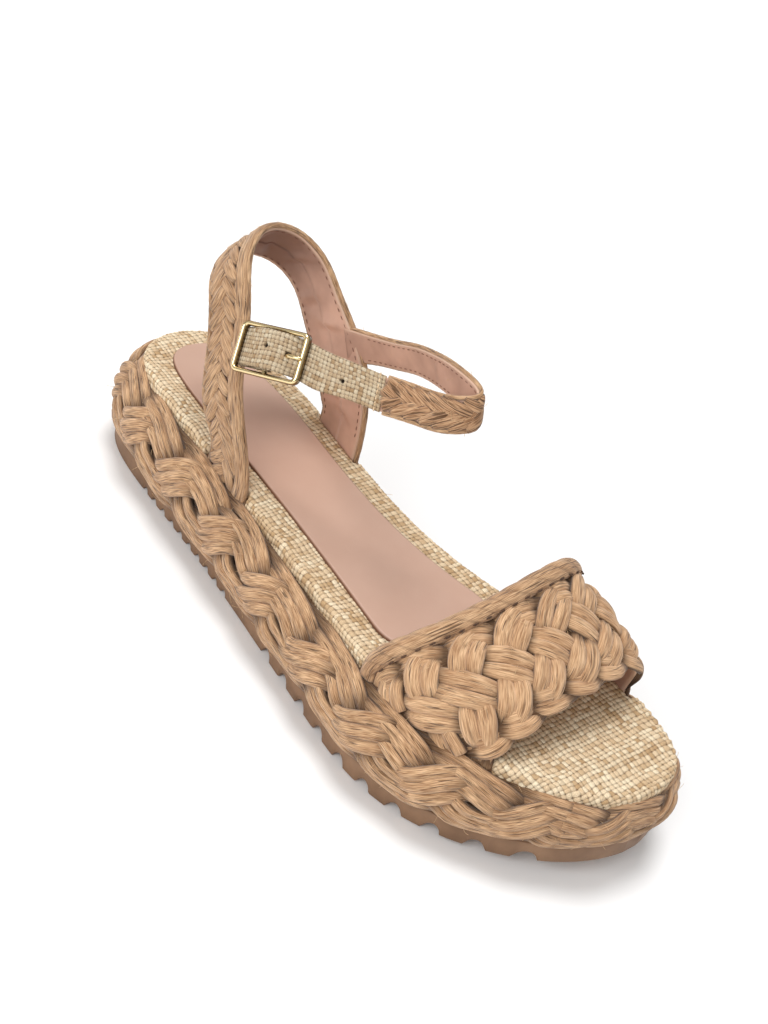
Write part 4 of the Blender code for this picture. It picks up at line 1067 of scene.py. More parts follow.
def lining(grid, face, back, columns, edge_width, wrinkles, tone_and_painted_shade=0.3):
    """Thin wall behind a grid, between two depths, with soft wrinkles on its back and a mark for a darker
    tone and painted shade.
    """
    normals = grid_normals(grid)
    picks = np.linspace(0, grid.shape[1] - 1, columns).round().astype(int)
    grid, normals = grid[:, picks], normals[:, picks]
    front = grid - normals * face
    rear = grid - normals * (back + wrinkles[:, picks][..., None])
    rings = np.concatenate((front, rear[:, ::-1]), axis=1)
    share = np.abs(np.linspace(-1, 1, columns))
    edge = np.repeat(np.clip((share - 1 + edge_width) / edge_width, 0, 1)[None, :], len(grid), axis=0)
    darkening_amount = np.broadcast_to(np.reshape(tone_and_painted_shade, (-1, 1)), rings.shape[:2])
    return plain_tube(rings, False, {"edge": np.concatenate((edge, edge), axis=1), "tone_and_painted_shade": darkening_amount})


inside = (band_share > 0.03) & (band_share < 0.97)
band_wrinkles = 0.25 * MM * wander(band_run[:, None] + 20 * MM * band_share[None, inside], 17 * MM, 5)
tube = lining(band_grid[:, inside], face=2.4 * MM, back=3.5 * MM, columns=26, edge_width=0.02,
              wrinkles=band_wrinkles)
add_tubes("toe_band_lining", [tube], lining_leather)
core = lining(band_grid[:, inside], face=1.6 * MM, back=2.3 * MM, columns=26, edge_width=0.02,
              wrinkles=0 * band_wrinkles)
ROOT_REACH, ROOT_FADE = 13 * MM, 5 * MM
rooted = ease((ROOT_REACH - np.minimum(band_run, band_knots[-1] - band_run)) / ROOT_FADE)[:, None]
flat = np.ones(core.rings.shape[:2])
shaded = {"painted_groove_shade": (0.75 - 0.6 * rooted) * flat, "painted_buried_shade": (0.6 - 0.5 * rooted) * flat}
add_tubes("toe_band_core", [core._replace(marks=shaded)], jute)

# %% [markdown]
# A rolled edge runs along the back of the toe band, where the foot slides in, and thin cords finish the
# edges of the straps. A cord of several plies needs no separate yarns: the furrows between the plies wind
# round one tube. In front of the rolled edge a row of dark stitches holds the lining.

# %% Rolled edge of the toe band
def wound_cord(surface, start, end, share, lift, half_width, half_thick, pitch, plies, furrow, around=22):
    """Cord along a line on a surface, with furrows that wind round it."""
    run = np.linspace(start, end, round((end - start) / (0.7 * MM)))
    foot, outward = surface(run, np.full(len(run), share))
    ahead = unit(np.gradient(foot, axis=0))
    side = unit(np.cross(outward, ahead))
    angle = np.linspace(0, FULL_TURN, around, endpoint=False)
    turns = angle[None, :] - FULL_TURN * run[:, None] / pitch + 0.5 * wander(run, 30 * MM, 8)[:, None]
    ply = np.abs(np.cos(plies / 2 * turns))
    swell = (1 - furrow + furrow * ply ** 0.5)[..., None]
    centre = foot + outward * lift
    rings = centre[:, None] + swell * (side[:, None] * (half_width * np.cos(angle))[None, :, None]
                                       + outward[:, None] * (half_thick * np.sin(angle))[None, :, None])
    # Painted shade in the furrows between the plies
    marks = {"painted_groove_shade": np.clip(1 - 2.6 * ply, 0, 1) * 3 * furrow, "painted_buried_shade": np.zeros(ply.shape)}
    return Tube(rings, run, ring_girth(rings), False, marks)


roll = wound_cord(band_surface, 2 * MM, band_knots[-1] - 2 * MM, share=-0.95, lift=-0.4 * MM,
                  half_width=3.3 * MM, half_thick=2.5 * MM, pitch=20 * MM, plies=3, furrow=0.14, around=32)
add_tubes("toe_band_rolled_edge", [roll], jute_fine)

# %% [markdown]
# The heel strap rises from both sides of the footbed and goes round behind the heel, and the ankle
# strap leaves it on the inner side and comes round the front of the ankle. Both are flat herringbone
# braids on a leather lining with a corded edge. Their two edges were measured as rows of points, because
# a surface drawn between two edges keeps the twist of the strap, which a band along one curve would lose.

# %% Strap surfaces
Strap = namedtuple("Strap", "up_across up_along up_up low_across low_along low_up")
HEEL_STRAP = (
    Strap(27.6, 68.8, 60.2, 29.0, 53.7, 49.3), Strap(24.3, 60.8, 74.2, 26.4, 46.3, 64.4),
    Strap(21.0, 52.6, 88.0, 23.6, 38.0, 78.6), Strap(18.2, 44.8, 99.8, 20.6, 32.2, 85.0),
    Strap(11.5, 40.0, 106.4, 13.0, 27.4, 89.2), Strap(2.0, 38.4, 106.6, 2.0, 26.0, 88.8),
    Strap(-7.5, 41.0, 103.4, -9.0, 29.0, 85.6), Strap(-13.6, 48.2, 97.8, -15.6, 36.6, 79.4),
    Strap(-17.0, 57.0, 88.8, -18.8, 45.6, 67.4), Strap(-18.9, 68.2, 79.4, -20.8, 55.8, 55.0),
    Strap(-20.2, 79.6, 66.0, -22.4, 60.4, 45.6),
)
ANKLE_STRAP = (
    Strap(-18.4, 64.0, 78.6, -20.6, 69.0, 68.0), Strap(-17.2, 79.4, 85.2, -20.2, 81.0, 74.4),
    Strap(-15.0, 90.2, 90.6, -18.7, 91.4, 79.8), Strap(-12.6, 100.8, 96.4, -16.6, 101.8, 85.2),
    Strap(-9.0, 112.4, 101.6, -13.0, 113.8, 89.8), Strap(-4.0, 127.0, 106.6, -6.8, 130.0, 94.6),
    Strap(1.4, 141.0, 107.0, 1.7, 144.4, 96.4), Strap(6.6, 134.0, 102.8, 9.6, 139.4, 93.8),
    Strap(9.4, 123.6, 99.6, 13.2, 130.4, 91.2), Strap(13.2, 113.0, 97.2, 17.6, 118.8, 88.2),
)


def strap_rows(table):
    low = np.column_stack([column(table, name) for name in ("low_across", "low_along", "low_up")])
    up = np.column_stack([column(table, name) for name in ("up_across", "up_along", "up_up")])
    return np.stack((low, up), axis=1)


def strap_edges(rows, step):
    """Lower and upper edge of a strap at even steps along it."""
    knots = running_length(rows.mean(axis=1))
    places = np.linspace(0, knots[-1], max(5, round(knots[-1] / step)))
    return places, spline(knots, rows.reshape(len(rows), -1), places).reshape(-1, 2, 3)


def strap_grid(edges, shares):
    shares = shares[None, :, None]
    return edges[:, :1] * (1 - shares) + edges[:, 1:] * shares


def seat_on(grid, point, lift):
    """The place on a strap's face nearest to a point, lifted off it."""
    normals = grid_normals(grid)
    row, place = np.unravel_index(np.argmin(np.linalg.norm(grid - point, axis=2)), grid.shape[:2])
    return grid[row, place] + normals[row, place] * lift


STRAP_STEP, ANKLE_SEAT = 0.9 * MM, -0.6 * MM
both_edges = np.array((0.0, 1.0))
rows = np.vstack(([*tucked_rows(HEEL_OUTER_ALONG, both_edges, True)], strap_rows(HEEL_STRAP),
                  [*reversed(tucked_rows(HEEL_INNER_ALONG, both_edges, False))]))
strap_share = np.linspace(-0.08, 1.08, 31)
heel_run, heel_edges = strap_edges(rows, STRAP_STEP)
heel_grid = strap_grid(heel_edges, strap_share)
heel_face = strap_grid(heel_edges, np.linspace(0, 1, 41))
heel_surface = grid_surface(heel_grid, heel_run, 2 * strap_share - 1)
rows = strap_rows(ANKLE_STRAP)
rows[0] = [seat_on(heel_face, point, ANKLE_SEAT) for point in rows[0]]
ankle_run, ankle_edges = strap_edges(rows, STRAP_STEP)
ankle_grid = strap_grid(ankle_edges, strap_share)
ankle_surface = grid_surface(ankle_grid, ankle_run, 2 * strap_share - 1)
print("heel strap", round(heel_run[-1], 4), "m, ankle strap", round(ankle_run[-1], 4), "m")

# %% [markdown]
# In a herringbone braid every strip starts at one edge, runs slanting to a spine and dives there under
# the strips from the other edge. So the braid is a row of short tapered strips from each side, with their
# starts a step apart, and their flanks and diving ends are painted dark as shade, so the slits between them
# look dark. The heel strap has a plain border, one broad bundle of long fibres, along its front edge, beside
# the braid.

# %% Strap braids
Braid = namedtuple("Braid", "pitch low spine high lean bundle sink")


def braid_strips(plan, surface, start, end, seed):
    """Strips of a herringbone braid on a surface, from one run to another."""
    tubes = []
    places = np.arange(start - abs(plan.lean), end + abs(plan.lean), plan.pitch)
    share_along = np.linspace(0, 1, 16)
    for number, place in enumerate(places):
        for side, edge in enumerate((plan.low, plan.high)):
            own_seed = seed + 2 * number + side
            picks = np.random.default_rng(own_seed)
            begin = place + side * plan.pitch / 2 + picks.uniform(-0.1, 0.1) * plan.pitch
            run = begin + plan.lean * share_along * picks.uniform(0.92, 1.08)
            inside = (run > start) & (run < end)
            if inside.sum() < 6:
                continue
            past = plan.spine + 0.16 * (plan.spine - edge)
            share = edge + (past - edge) * share_along ** 0.9
            dive = ease((share_along - 0.72) / 0.28) + 0.5 * ease((0.12 - share_along) / 0.12)
            lift = -plan.sink + plan.bundle.half_thick * (0.3 - 0.55 * dive + picks.uniform(-0.15, 0.15))
            foot, outward = surface(run[inside], share[inside])
            centre = foot + outward * lift[inside][:, None]
            taper = (0.55 + 0.45 * np.sin(math.pi * np.clip(share_along, 0.05, 0.92)) ** 0.5)[inside]
            tubes.append(strand_tube(centre, outward, dive[inside], plan.bundle, own_seed, taper))
    return tubes


def border_yarn(surface, start, end, share, lift, bundle, seed):
    run = np.linspace(start, end, round((end - start) / (1.1 * MM)))
    foot, outward = surface(run, np.full(len(run), share))
    return strand_tube(foot + outward * lift, outward, np.zeros(len(run)), bundle, seed)


heel_strip = Bundle(half_width=2.5 * MM, half_thick=0.95 * MM, ring=24, fibres=3, flank=1.0, leaf=0.2)
heel_braid = Braid(pitch=6.2 * MM, low=-0.88, spine=-0.16, high=0.46, lean=9.0 * MM, bundle=heel_strip,
                   sink=0.35 * MM)
ankle_strip = Bundle(half_width=2.2 * MM, half_thick=0.85 * MM, ring=22, fibres=2, flank=0.95, leaf=0.25)
ankle_braid = Braid(pitch=5.2 * MM, low=-0.84, spine=0.0, high=0.84, lean=-11.0 * MM, bundle=ankle_strip,
                    sink=0.3 * MM)
border = Bundle(half_width=3.0 * MM, half_thick=0.95 * MM, ring=32, fibres=4, flank=0.5, leaf=0.0)
strips = braid_strips(heel_braid, heel_surface, 0.5 * MM, heel_run[-1] - 0.5 * MM, seed=1500)
strips.append(border_yarn(heel_surface, 0.5 * MM, heel_run[-1] - 0.5 * MM, share=0.7, lift=-0.35 * MM,
                          bundle=border, seed=1590))
heel_piece = add_tubes("heel_strap_braid", strips, jute_fine, ["ankle_straps"])
strips = braid_strips(ankle_braid, ankle_surface, 1 * MM, ankle_run[-1] - 0.4 * MM, seed=1600)
ankle_piece = add_tubes("ankle_strap_braid", strips, jute_front_painted_shade)

# %% [markdown]
# The linings are nude leather, wrinkled where the strap bends and where the inner side is pulled in over
# the footbed. Noise alone would wrinkle them evenly all over, so each main wrinkle is placed one by one as a
# soft trough with a ridge beside it.

# %% Strap linings and corded edges
# A crease lies at a run along the strap and a share across it, leans by a slant, and is so long and deep
Crease = namedtuple("Crease", "run share slant length depth")
HEEL_CREASES = (
    Crease(88, 0.6, 0.5, 12, 0.5), Crease(97, 0.4, -0.4, 10, 0.45), Crease(112, 0.55, 0.7, 13, 0.55),
    Crease(126, 0.35, 0.4, 11, 0.5), Crease(139, 0.6, 0.9, 15, 0.7), Crease(147, 0.4, 0.8, 14, 0.8),
    Crease(155, 0.62, 0.7, 13, 0.75), Crease(162, 0.38, 1.0, 14, 0.85), Crease(169, 0.55, 0.8, 12, 0.7),
)
ANKLE_CREASES = (Crease(30, 0.5, 0.4, 6, 0.2), Crease(56, 0.55, -0.5, 7, 0.25), Crease(74, 0.5, 0.3, 6, 0.3))


def crease_depth(run, share, width, creases):
    """Soft troughs with a ridge beside each, in metres, over a strap's grid."""
    depth = np.zeros((len(run), len(share)))
    for crease in creases:
        x = run[:, None] - crease.run * MM
        y = (share[None, :] - crease.share) * width
        over = (x - crease.slant * y) / (2.2 * MM)
        reach = np.exp(-((y + crease.slant * x) / (crease.length * MM * 0.55)) ** 2)
        depth += crease.depth * MM * reach * (np.exp(-over ** 2) - 0.7 * np.exp(-(over - 1.5) ** 2))
    return depth


# Painted shade: the heel strap's lining is darkened over the back of the strap, around a run
HEEL_PAINTED_SHADE_RUN, HEEL_PAINTED_SHADE_WIDTH, HEEL_PAINTED_SHADE_STRENGTH = 100 * MM, 34 * MM, 0.85
HEEL_WIDTH, ANKLE_WIDTH, CREASE_GAIN = 22 * MM, 12 * MM, 1.7
inside_share = strap_share[(strap_share > 0.02) & (strap_share < 0.98)]
inside = np.isin(strap_share, inside_share)
small = wander(heel_run[:, None] + 9 * MM * inside_share, 11 * MM, 15)
small = small * wander(inside_share * HEEL_WIDTH, 14 * MM, 16)
wrinkles = CREASE_GAIN * crease_depth(heel_run, inside_share, HEEL_WIDTH, HEEL_CREASES) + 0.2 * MM * small
tone_and_painted_shade = HEEL_PAINTED_SHADE_STRENGTH * np.exp(-((heel_run - HEEL_PAINTED_SHADE_RUN) / HEEL_PAINTED_SHADE_WIDTH) ** 2)
tube = lining(heel_grid[:, inside], face=0.9 * MM, back=2.3 * MM, columns=26, edge_width=0.1,
              wrinkles=wrinkles, tone_and_painted_shade=tone_and_painted_shade)
add_tubes("heel_strap_lining", [tube], lining_leather)
wrinkles = CREASE_GAIN * crease_depth(ankle_run, inside_share, ANKLE_WIDTH, ANKLE_CREASES)
tube = lining(ankle_grid[:, inside], face=0.6 * MM, back=1.9 * MM, columns=20, edge_width=0.14,
              wrinkles=wrinkles)
add_tubes("ankle_strap_lining", [tube], lining_leather)

cords = []
for surface, run, lift, radius in ((heel_surface, heel_run, -1.0 * MM, 1.0 * MM),
                                   (ankle_surface, ankle_run, -0.65 * MM, 0.75 * MM)):
    cords += [wound_cord(surface, 1 * MM, run[-1] - 1 * MM, side * 0.97, lift, radius, radius, pitch=7 * MM,
                         plies=2, furrow=0.1, around=14) for side in (-1, 1)]
add_tubes("strap_edge_cords", cords, jute_fine)

# %% [markdown]
# The buckle is a pale gold frame with bevelled edges and a hidden centre bar. The cloth end of the
# ankle strap arches over the bar and dives under both ends of the frame, and the prong lies on the
# front bar. The buckle leans and turns with the ankle, so all of them are placed in its own directions:
# forward, up and out.

# %% Places on the buckle
BUCKLE_CENTRE = np.array((26.6, 75.5, 82.9)) * MM
BUCKLE_TURN, BUCKLE_LEAN, BUCKLE_SLOPE = (math.radians(angle) for angle in (2.9, 27.5, 23.0))
buckle_out = np.array((math.cos(BUCKLE_TURN) * math.cos(BUCKLE_LEAN),
                       math.sin(BUCKLE_TURN) * math.cos(BUCKLE_LEAN), math.sin(BUCKLE_LEAN)))
buckle_level = np.array((-math.sin(BUCKLE_TURN), math.cos(BUCKLE_TURN), 0.0))
buckle_forward = (buckle_level * math.cos(BUCKLE_SLOPE)
                  + np.cross(buckle_out, buckle_level) * math.sin(BUCKLE_SLOPE))
buckle_up = np.cross(buckle_out, buckle_forward)
Path = namedtuple("Path", "forward out up", defaults=(0.0,))


def buckle_points(forward, up, out):
    """Points from arrays of places forward, up and out of the buckle's middle."""
    forward, up, out = (np.asarray(value)[..., None] for value in (forward, up, out))
    return BUCKLE_CENTRE + forward * buckle_forward + up * buckle_up + out * buckle_out


def path_rows(path, half_width):
    return np.array([[buckle_points(row.forward * MM, row.up * MM + side * half_width, row.out * MM)
                      for side in (-1, 1)] for row in path])


print("buckle at", (BUCKLE_CENTRE + HEEL_TIP).round(4))

# %% [markdown]
# The end of the ankle strap is a strip of straw cloth with punched holes, and a second strip loops round the
# centre bar and ties the buckle to the heel strap. A plane bent along a curve could follow these paths, but
# the threads and the holes need a fine even grid. So each strip is a grid between two edges, with threads on
# both faces.

# %% Cloth end of the strap and loop of the buckle
STRAP_END_WALL, STRAP_END_WIDTH = 1.3 * MM, 13 * MM
STRAP_END_JOIN = Strap(17.4, 96.4, 93.8, 22.6, 103.0, 84.6)
STRAP_END_PATH = (Path(18.0, -1.9, -1.4), Path(12.6, -1.5, -0.1), Path(7.5, 0.9, 0.5), Path(0.0, 3.6, 0.6),
                  Path(-7.5, 0.9, 0.5), Path(-12.6, -1.5, 0.3))
TAB_WALL, TAB_WIDTH, TAB_LIFT = 0.8 * MM, 12.4 * MM, -0.5 * MM
TAB_PATCH = np.array(((25.0, 66.2, 70.0), (25.0, 61.2, 79.6))) * MM
TAB_PATCH_BACK = (8.5, 1.5)
TAB_PATH = (Path(-12.6, -3.9), Path(-6.0, -2.7), Path(0.0, -2.0), Path(1.42, -1.42), Path(2.0, 0.0),
            Path(1.42, 1.42), Path(0.0, 2.0), Path(-5.0, 0.2))
CLOTH_FINE_STEP = 0.3 * MM
FINE_WARP, FINE_WEFT, FINE_SLACK = 1.4 * MM, 1.5 * MM, 0.12
# Place of the strips on the flat cloth
STRIP_ACROSS, STRIP_ALONG = 40 * MM, 20 * MM
FINE_RAISE, FINE_BACK_RAISE, STRIP_ROUND = 0.42 * MM, 0.26 * MM, 0.9 * MM
# The strap end's outer face is darkened by a share; the loop's is darkened more as painted shade under the
# strap end's arch, and the backs of both strips get the same painted shade
STRIP_DARKENING, UNDERSIDE_PAINTED_SHADE = 0.3, 0.6


def cloth_strip(rows, wall, width, outer_darkening, holes=()):
    """Strip of straw cloth with raised threads on both faces, rounded edges and punched holes."""
    run, edges = strap_edges(rows, CLOTH_FINE_STEP)
    share = np.linspace(0, 1, round(width / CLOTH_FINE_STEP) + 1)
    grid = strap_grid(edges, share)
    normals = grid_normals(grid)
    across = (share - 0.5)[None, :] * width + 0 * run[:, None]
    along = run[:, None] + 0 * share[None, :]
    height, *counts = weave(across + STRIP_ACROSS, along + STRIP_ALONG, FINE_WARP, FINE_WEFT, FINE_SLACK)
    pit = np.zeros(height.shape)
    for place, offset, radius in holes:
        away = np.hypot(along - place, across - offset)
        pit = np.maximum(pit, ease(1 - (away - 0.7 * radius) / (0.6 * radius)))
    past = np.clip((np.abs(across) - width / 2 + STRIP_ROUND) / STRIP_ROUND, 0, 1)
    rounded = 0.4 * wall * past[..., None] ** 2
    lift = (FINE_RAISE * (height - FLOAT_MIDDLE) * (1 - pit) - 0.75 * wall * pit)[..., None]
    outer = grid + normals * (lift - rounded)
    inner = grid - normals * (wall + FINE_BACK_RAISE * (height - FLOAT_MIDDLE)[..., None] - rounded)
    rings = np.concatenate((outer, inner[:, ::-1]), axis=1)
    # Painted shade in the holes and on the backs; the outer face is also darkened by the given share
    pits = np.concatenate((np.maximum(pit, outer_darkening), 0 * pit + UNDERSIDE_PAINTED_SHADE), axis=1)
    return plain_tube(rings, False, cloth_marks((counts, [count[:, ::-1] for count in counts]), pits))


rows = np.vstack((strap_rows(ANKLE_STRAP[-1:]), strap_rows((STRAP_END_JOIN,)),
                  path_rows(STRAP_END_PATH, STRAP_END_WIDTH / 2)))
strap_end_rows = rows
knots = running_length(rows.mean(axis=1))
strap_holes = [(knots[1] - 2.3 * MM, -1.0 * MM, 0.8 * MM), (knots[5], 1.0 * MM, 0.8 * MM),
               (knots[4], 0.0, 1.0 * MM)]
tube = cloth_strip(rows, STRAP_END_WALL, STRAP_END_WIDTH, STRIP_DARKENING, strap_holes)
add_tubes("strap_end_cloth", [tube], straw, ["strap_end"])

patch = [[seat_on(heel_face, corner - buckle_forward * back * MM, TAB_LIFT) for corner in TAB_PATCH]
         for back in TAB_PATCH_BACK]
rows = np.vstack((patch, path_rows(TAB_PATH, TAB_WIDTH / 2)))
tube = cloth_strip(rows, TAB_WALL, TAB_WIDTH, UNDERSIDE_PAINTED_SHADE)
add_tubes("buckle_loop_cloth", [tube], straw, ["buckle_tab"])

# %% [markdown]
# The frame of the buckle is cast, with bevelled edges that catch thin bright lines of light. A bevel on a
# square ring would give the edges, but not the darker inner sides. So a section with its own bevels is
# carried round a rounded rectangle and stores a painted reflection for each of its steps: bright highlights
# on the top bevels and dark reflections on the sides. The bar and the prong are round rods, each painted with
# one level of reflection.

# %% Buckle frame, bar and prong
BUCKLE_LENGTH, BUCKLE_HEIGHT, BUCKLE_CORNER = 27.4 * MM, 17.2 * MM, 2.6 * MM
# Steps from the outer side over the top to the inner side: share of the bar's width, height, painted
# reflection
FRAME_SECTION = ((0.0, -1.1, 0.1), (0.0, 0.3, 0.3), (0.2, 0.85, 1.0), (0.4, 1.05, 1.0), (0.6, 1.05, 1.0),
                 (0.82, 0.8, 0.9), (1.0, 0.25, 0.2), (1.0, -1.1, 0.0))
FRONT_BAR, BACK_BAR, SIDE_BAR = 2.2 * MM, 1.9 * MM, 1.6 * MM
CENTRE_BAR, PRONG_WIRE = 0.9 * MM, 0.8 * MM
BAR_PAINTED_REFLECTION, PRONG_PAINTED_REFLECTION = 0.2, 0.9
BAR_STEPS, PRONG_STEPS = 9, 40
PRONG_PATH = (Path(-0.6, -1.72), Path(0.9, -1.75), Path(3.2, -1.4), Path(5.6, -0.6), Path(7.3, 0.6),
              Path(8.8, 2.0), Path(10.8, 2.3), Path(13.6, 1.6))


def frame_loop(inset, height):
    """Rounded rectangle of the buckle, set in by a share of each bar's width."""
    front, back = BUCKLE_LENGTH / 2 - inset * FRONT_BAR, -BUCKLE_LENGTH / 2 + inset * BACK_BAR
    top = BUCKLE_HEIGHT / 2 - inset * SIDE_BAR
    radius = BUCKLE_CORNER - inset * SIDE_BAR
    angle = np.linspace(0, math.pi / 2, 7)
    forward, up = [], []
    for quarter, (side, level) in enumerate(((front, top), (back, top), (back, -top), (front, -top))):
        turn = angle + quarter * math.pi / 2
        forward.append(side - math.copysign(radius, side) + radius * np.cos(turn))
        up.append(level - math.copysign(radius, level) + radius * np.sin(turn))
    forward, up = np.concatenate(forward), np.concatenate(up)
    return buckle_points(forward, up, np.full(len(forward), height))


def round_tube(points, radii, around=18):
    """Round rod through points."""
    ahead = unit(np.gradient(points, axis=0))
    side = unit(np.cross(ahead, buckle_up + 0.01 * buckle_out))
    above = np.cross(side, ahead)
    angle = np.linspace(0, FULL_TURN, around, endpoint=False)[None, :, None]
    radii = np.broadcast_to(radii, len(points))[:, None, None]
    outward = side[:, None] * np.cos(angle) + above[:, None] * np.sin(angle)
    return plain_tube(points[:, None] + radii * outward)


rings = np.stack([frame_loop(inset, height * MM) for inset, height, _ in FRAME_SECTION], axis=1)
painted_reflection = np.repeat([[row[2] for row in FRAME_SECTION]], len(rings), axis=0)
bar_ends = np.linspace(-1, 1, BAR_STEPS) * (BUCKLE_HEIGHT - SIDE_BAR) / 2
bar_centre = buckle_points(np.zeros(BAR_STEPS), bar_ends, np.zeros(BAR_STEPS))
bar_side = np.linspace(0, FULL_TURN, 18, endpoint=False)
bar = (bar_centre[:, None] + CENTRE_BAR * (buckle_forward * np.cos(bar_side)[:, None]
                                           + buckle_out * np.sin(bar_side)[:, None]))
parts = [plain_tube(rings, True, {"face": painted_reflection}),
         plain_tube(bar, False, {"face": np.full(bar.shape[:2], BAR_PAINTED_REFLECTION)})]
add_tubes("buckle_frame_gold", parts, gold, ["buckle_frame"])
path = buckle_points(column(PRONG_PATH, "forward"), np.zeros(len(PRONG_PATH)), column(PRONG_PATH, "out"))
knots = running_length(path)
prong_line = spline(knots, path, np.linspace(0, knots[-1], PRONG_STEPS))
taper = PRONG_WIRE * (1 - 0.25 * np.linspace(0, 1, PRONG_STEPS) ** 3)
taper[-3:] *= (0.9, 0.7, 0.3)
prong = round_tube(prong_line, taper)
prong = prong._replace(marks={"face": np.full(prong.rings.shape[:2], PRONG_PAINTED_REFLECTION)})
add_tubes("buckle_prong_gold", [prong], gold, ["buckle_prong"])

# %% [markdown]
# Stitches are the same short thread again and again along a line, which is work for Geometry Nodes.
# The tree turns a line of edges into a curve, sets a point at every stitch, puts a small thread there
# that lies along the curve, makes all of them real and gives them the thread's finish.

# %% Stitch tree
def start_tree(name, inputs):
    """Empty node tree with geometry in and out, and the named inputs."""
    tree = bpy.data.node_groups.new(name, "GeometryNodeTree")
    tree.is_modifier = True
    tree.interface.new_socket(name="Geometry", in_out="INPUT", socket_type="NodeSocketGeometry")
    for label, kind, value in inputs:
        socket = tree.interface.new_socket(name=label, in_out="INPUT", socket_type=kind)
        if value is not None:
            socket.default_value = value
    tree.interface.new_socket(name="Geometry", in_out="OUTPUT", socket_type="NodeSocketGeometry")
    return tree, add_node(tree, "NodeGroupInput").outputs


def end_tree(tree, instances, finish):
    real = add_step(tree, "GeometryNodeRealizeInstances", {0: instances})
    smooth = add_step(tree, "GeometryNodeSetShadeSmooth", {0: real})
    dressed = add_step(tree, "GeometryNodeSetMaterial", {"Geometry": smooth, "Material": finish})
    add_node(tree, "NodeGroupOutput", {0: dressed})


def run_tree(name, carrier_mesh, tree, settings, finish):
    """Plain mesh piece from a tree run on a carrier mesh."""
    carrier = bpy.data.objects.new(name + "_carrier", carrier_mesh)
    bpy.context.scene.collection.objects.link(carrier)
    modifier = carrier.modifiers.new("tree", "NODES")
    modifier.node_group = tree
    for socket in tree.interface.items_tree:
        if socket.in_out == "INPUT" and socket.name in settings:
            modifier[socket.identifier] = settings[socket.name]
    graph = bpy.context.evaluated_depsgraph_get()
    mesh = bpy.data.meshes.new_from_object(carrier.evaluated_get(graph))
    bpy.data.objects.remove(carrier, do_unlink=True)
    return show_piece(name, mesh, finish)


stitch_tree, given = start_tree("stitch_row", (("Spacing", "NodeSocketFloat", 3 * MM),
                                               ("Length", "NodeSocketFloat", 2 * MM),
                                               ("Thickness", "NodeSocketFloat", 0.5 * MM),
                                               ("Thread", "NodeSocketMaterial", None)))
curve = add_step(stitch_tree, "GeometryNodeMeshToCurve", {"Mesh": given["Geometry"]})
spots = add_step(stitch_tree, "GeometryNodeResampleCurve", {"Curve": curve, "Length": given["Spacing"]},
                 mode="LENGTH")
ahead = add_step(stitch_tree, "GeometryNodeInputTangent")
turned = add_step(stitch_tree, "FunctionNodeAlignRotationToVector", {"Vector": ahead}, axis="Z")
thread = add_step(stitch_tree, "GeometryNodeMeshUVSphere", {"Segments": 7, "Rings": 6, "Radius": 0.5})
size = add_step(stitch_tree, "ShaderNodeCombineXYZ",
                {"X": given["Thickness"], "Y": given["Thickness"], "Z": given["Length"]})
stitches = add_step(stitch_tree, "GeometryNodeInstanceOnPoints",
                    {"Points": spots, "Instance": thread, "Rotation": turned, "Scale": size})
end_tree(stitch_tree, stitches, given["Thread"])
print("stitch tree", len(stitch_tree.nodes), "nodes")

# %% [markdown]
# Dark stitches run beside the rolled edge of the toe band, pale ones join the cloth end to the ankle strap,
# and fine red-brown ones hold the linings. Setting each by hand would be slow and uneven. With the tree,
# only the lines that they follow have to be made, a little above or behind the surfaces they are sewn to.

# %% Seams
def line_mesh(name, lines):
    """Mesh of edges along lines of points."""
    points, edges = [], []
    for line in lines:
        edges += [(len(points) + step, len(points) + step + 1) for step in range(len(line) - 1)]
        points += [tuple(point) for point in line + HEEL_TIP]
    mesh = bpy.data.meshes.new(name)
    mesh.from_pydata(points, edges, [])
    return mesh


def surface_line(surface, start, end, share, lift):
    run = np.arange(start, end, 0.8 * MM)
    foot, outward = surface(run, np.full(len(run), share))
    return foot + outward * lift


def sew(name, lines, spacing, length, thickness, finish):
    settings = {"Spacing": spacing, "Length": length, "Thickness": thickness, "Thread": finish}
    return run_tree(name, line_mesh(name + "_lines", lines), stitch_tree, settings, finish)


band_seam = surface_line(band_surface, 9 * MM, band_knots[-1] - 9 * MM, -0.79, 1.0 * MM)
sew("toe_band_stitches", [band_seam], 4.6 * MM, 2.2 * MM, 0.7 * MM, dark_thread)
strap_seams = [surface_line(heel_surface, 12 * MM, heel_run[-1] - 12 * MM, side * 0.8, -2.42 * MM)
               for side in (-1, 1)]
strap_seams += [surface_line(ankle_surface, 12 * MM, ankle_run[-1] - 1 * MM, side * 0.72, -1.98 * MM)
                for side in (-1, 1)]
join = strap_end_rows[0] + 0.1 * (strap_end_rows[1] - strap_end_rows[0])
join_out = unit(np.cross(join[1] - join[0], strap_end_rows[1, 0] - strap_end_rows[0, 0]))
join_out = join_out * np.sign(join_out @ buckle_out)
join_seam = join[0] + (join[1] - join[0]) * np.linspace(0.03, 0.97, 20)[:, None] + join_out * 0.3 * MM
sew("strap_end_stitches", [join_seam], 1.6 * MM, 1.5 * MM, 0.6 * MM, pale_thread)
sew("strap_lining_stitches", strap_seams, 2.9 * MM, 1.7 * MM, 0.36 * MM, red_brown_thread)

# %% [markdown]
# Jute is hairy: loose fibres stand off every strand. A second tree scatters short curved hairs over the
# faces of a plait, turned at random but lying close to the surface, with a fixed seed so that they come
# out the same each time.

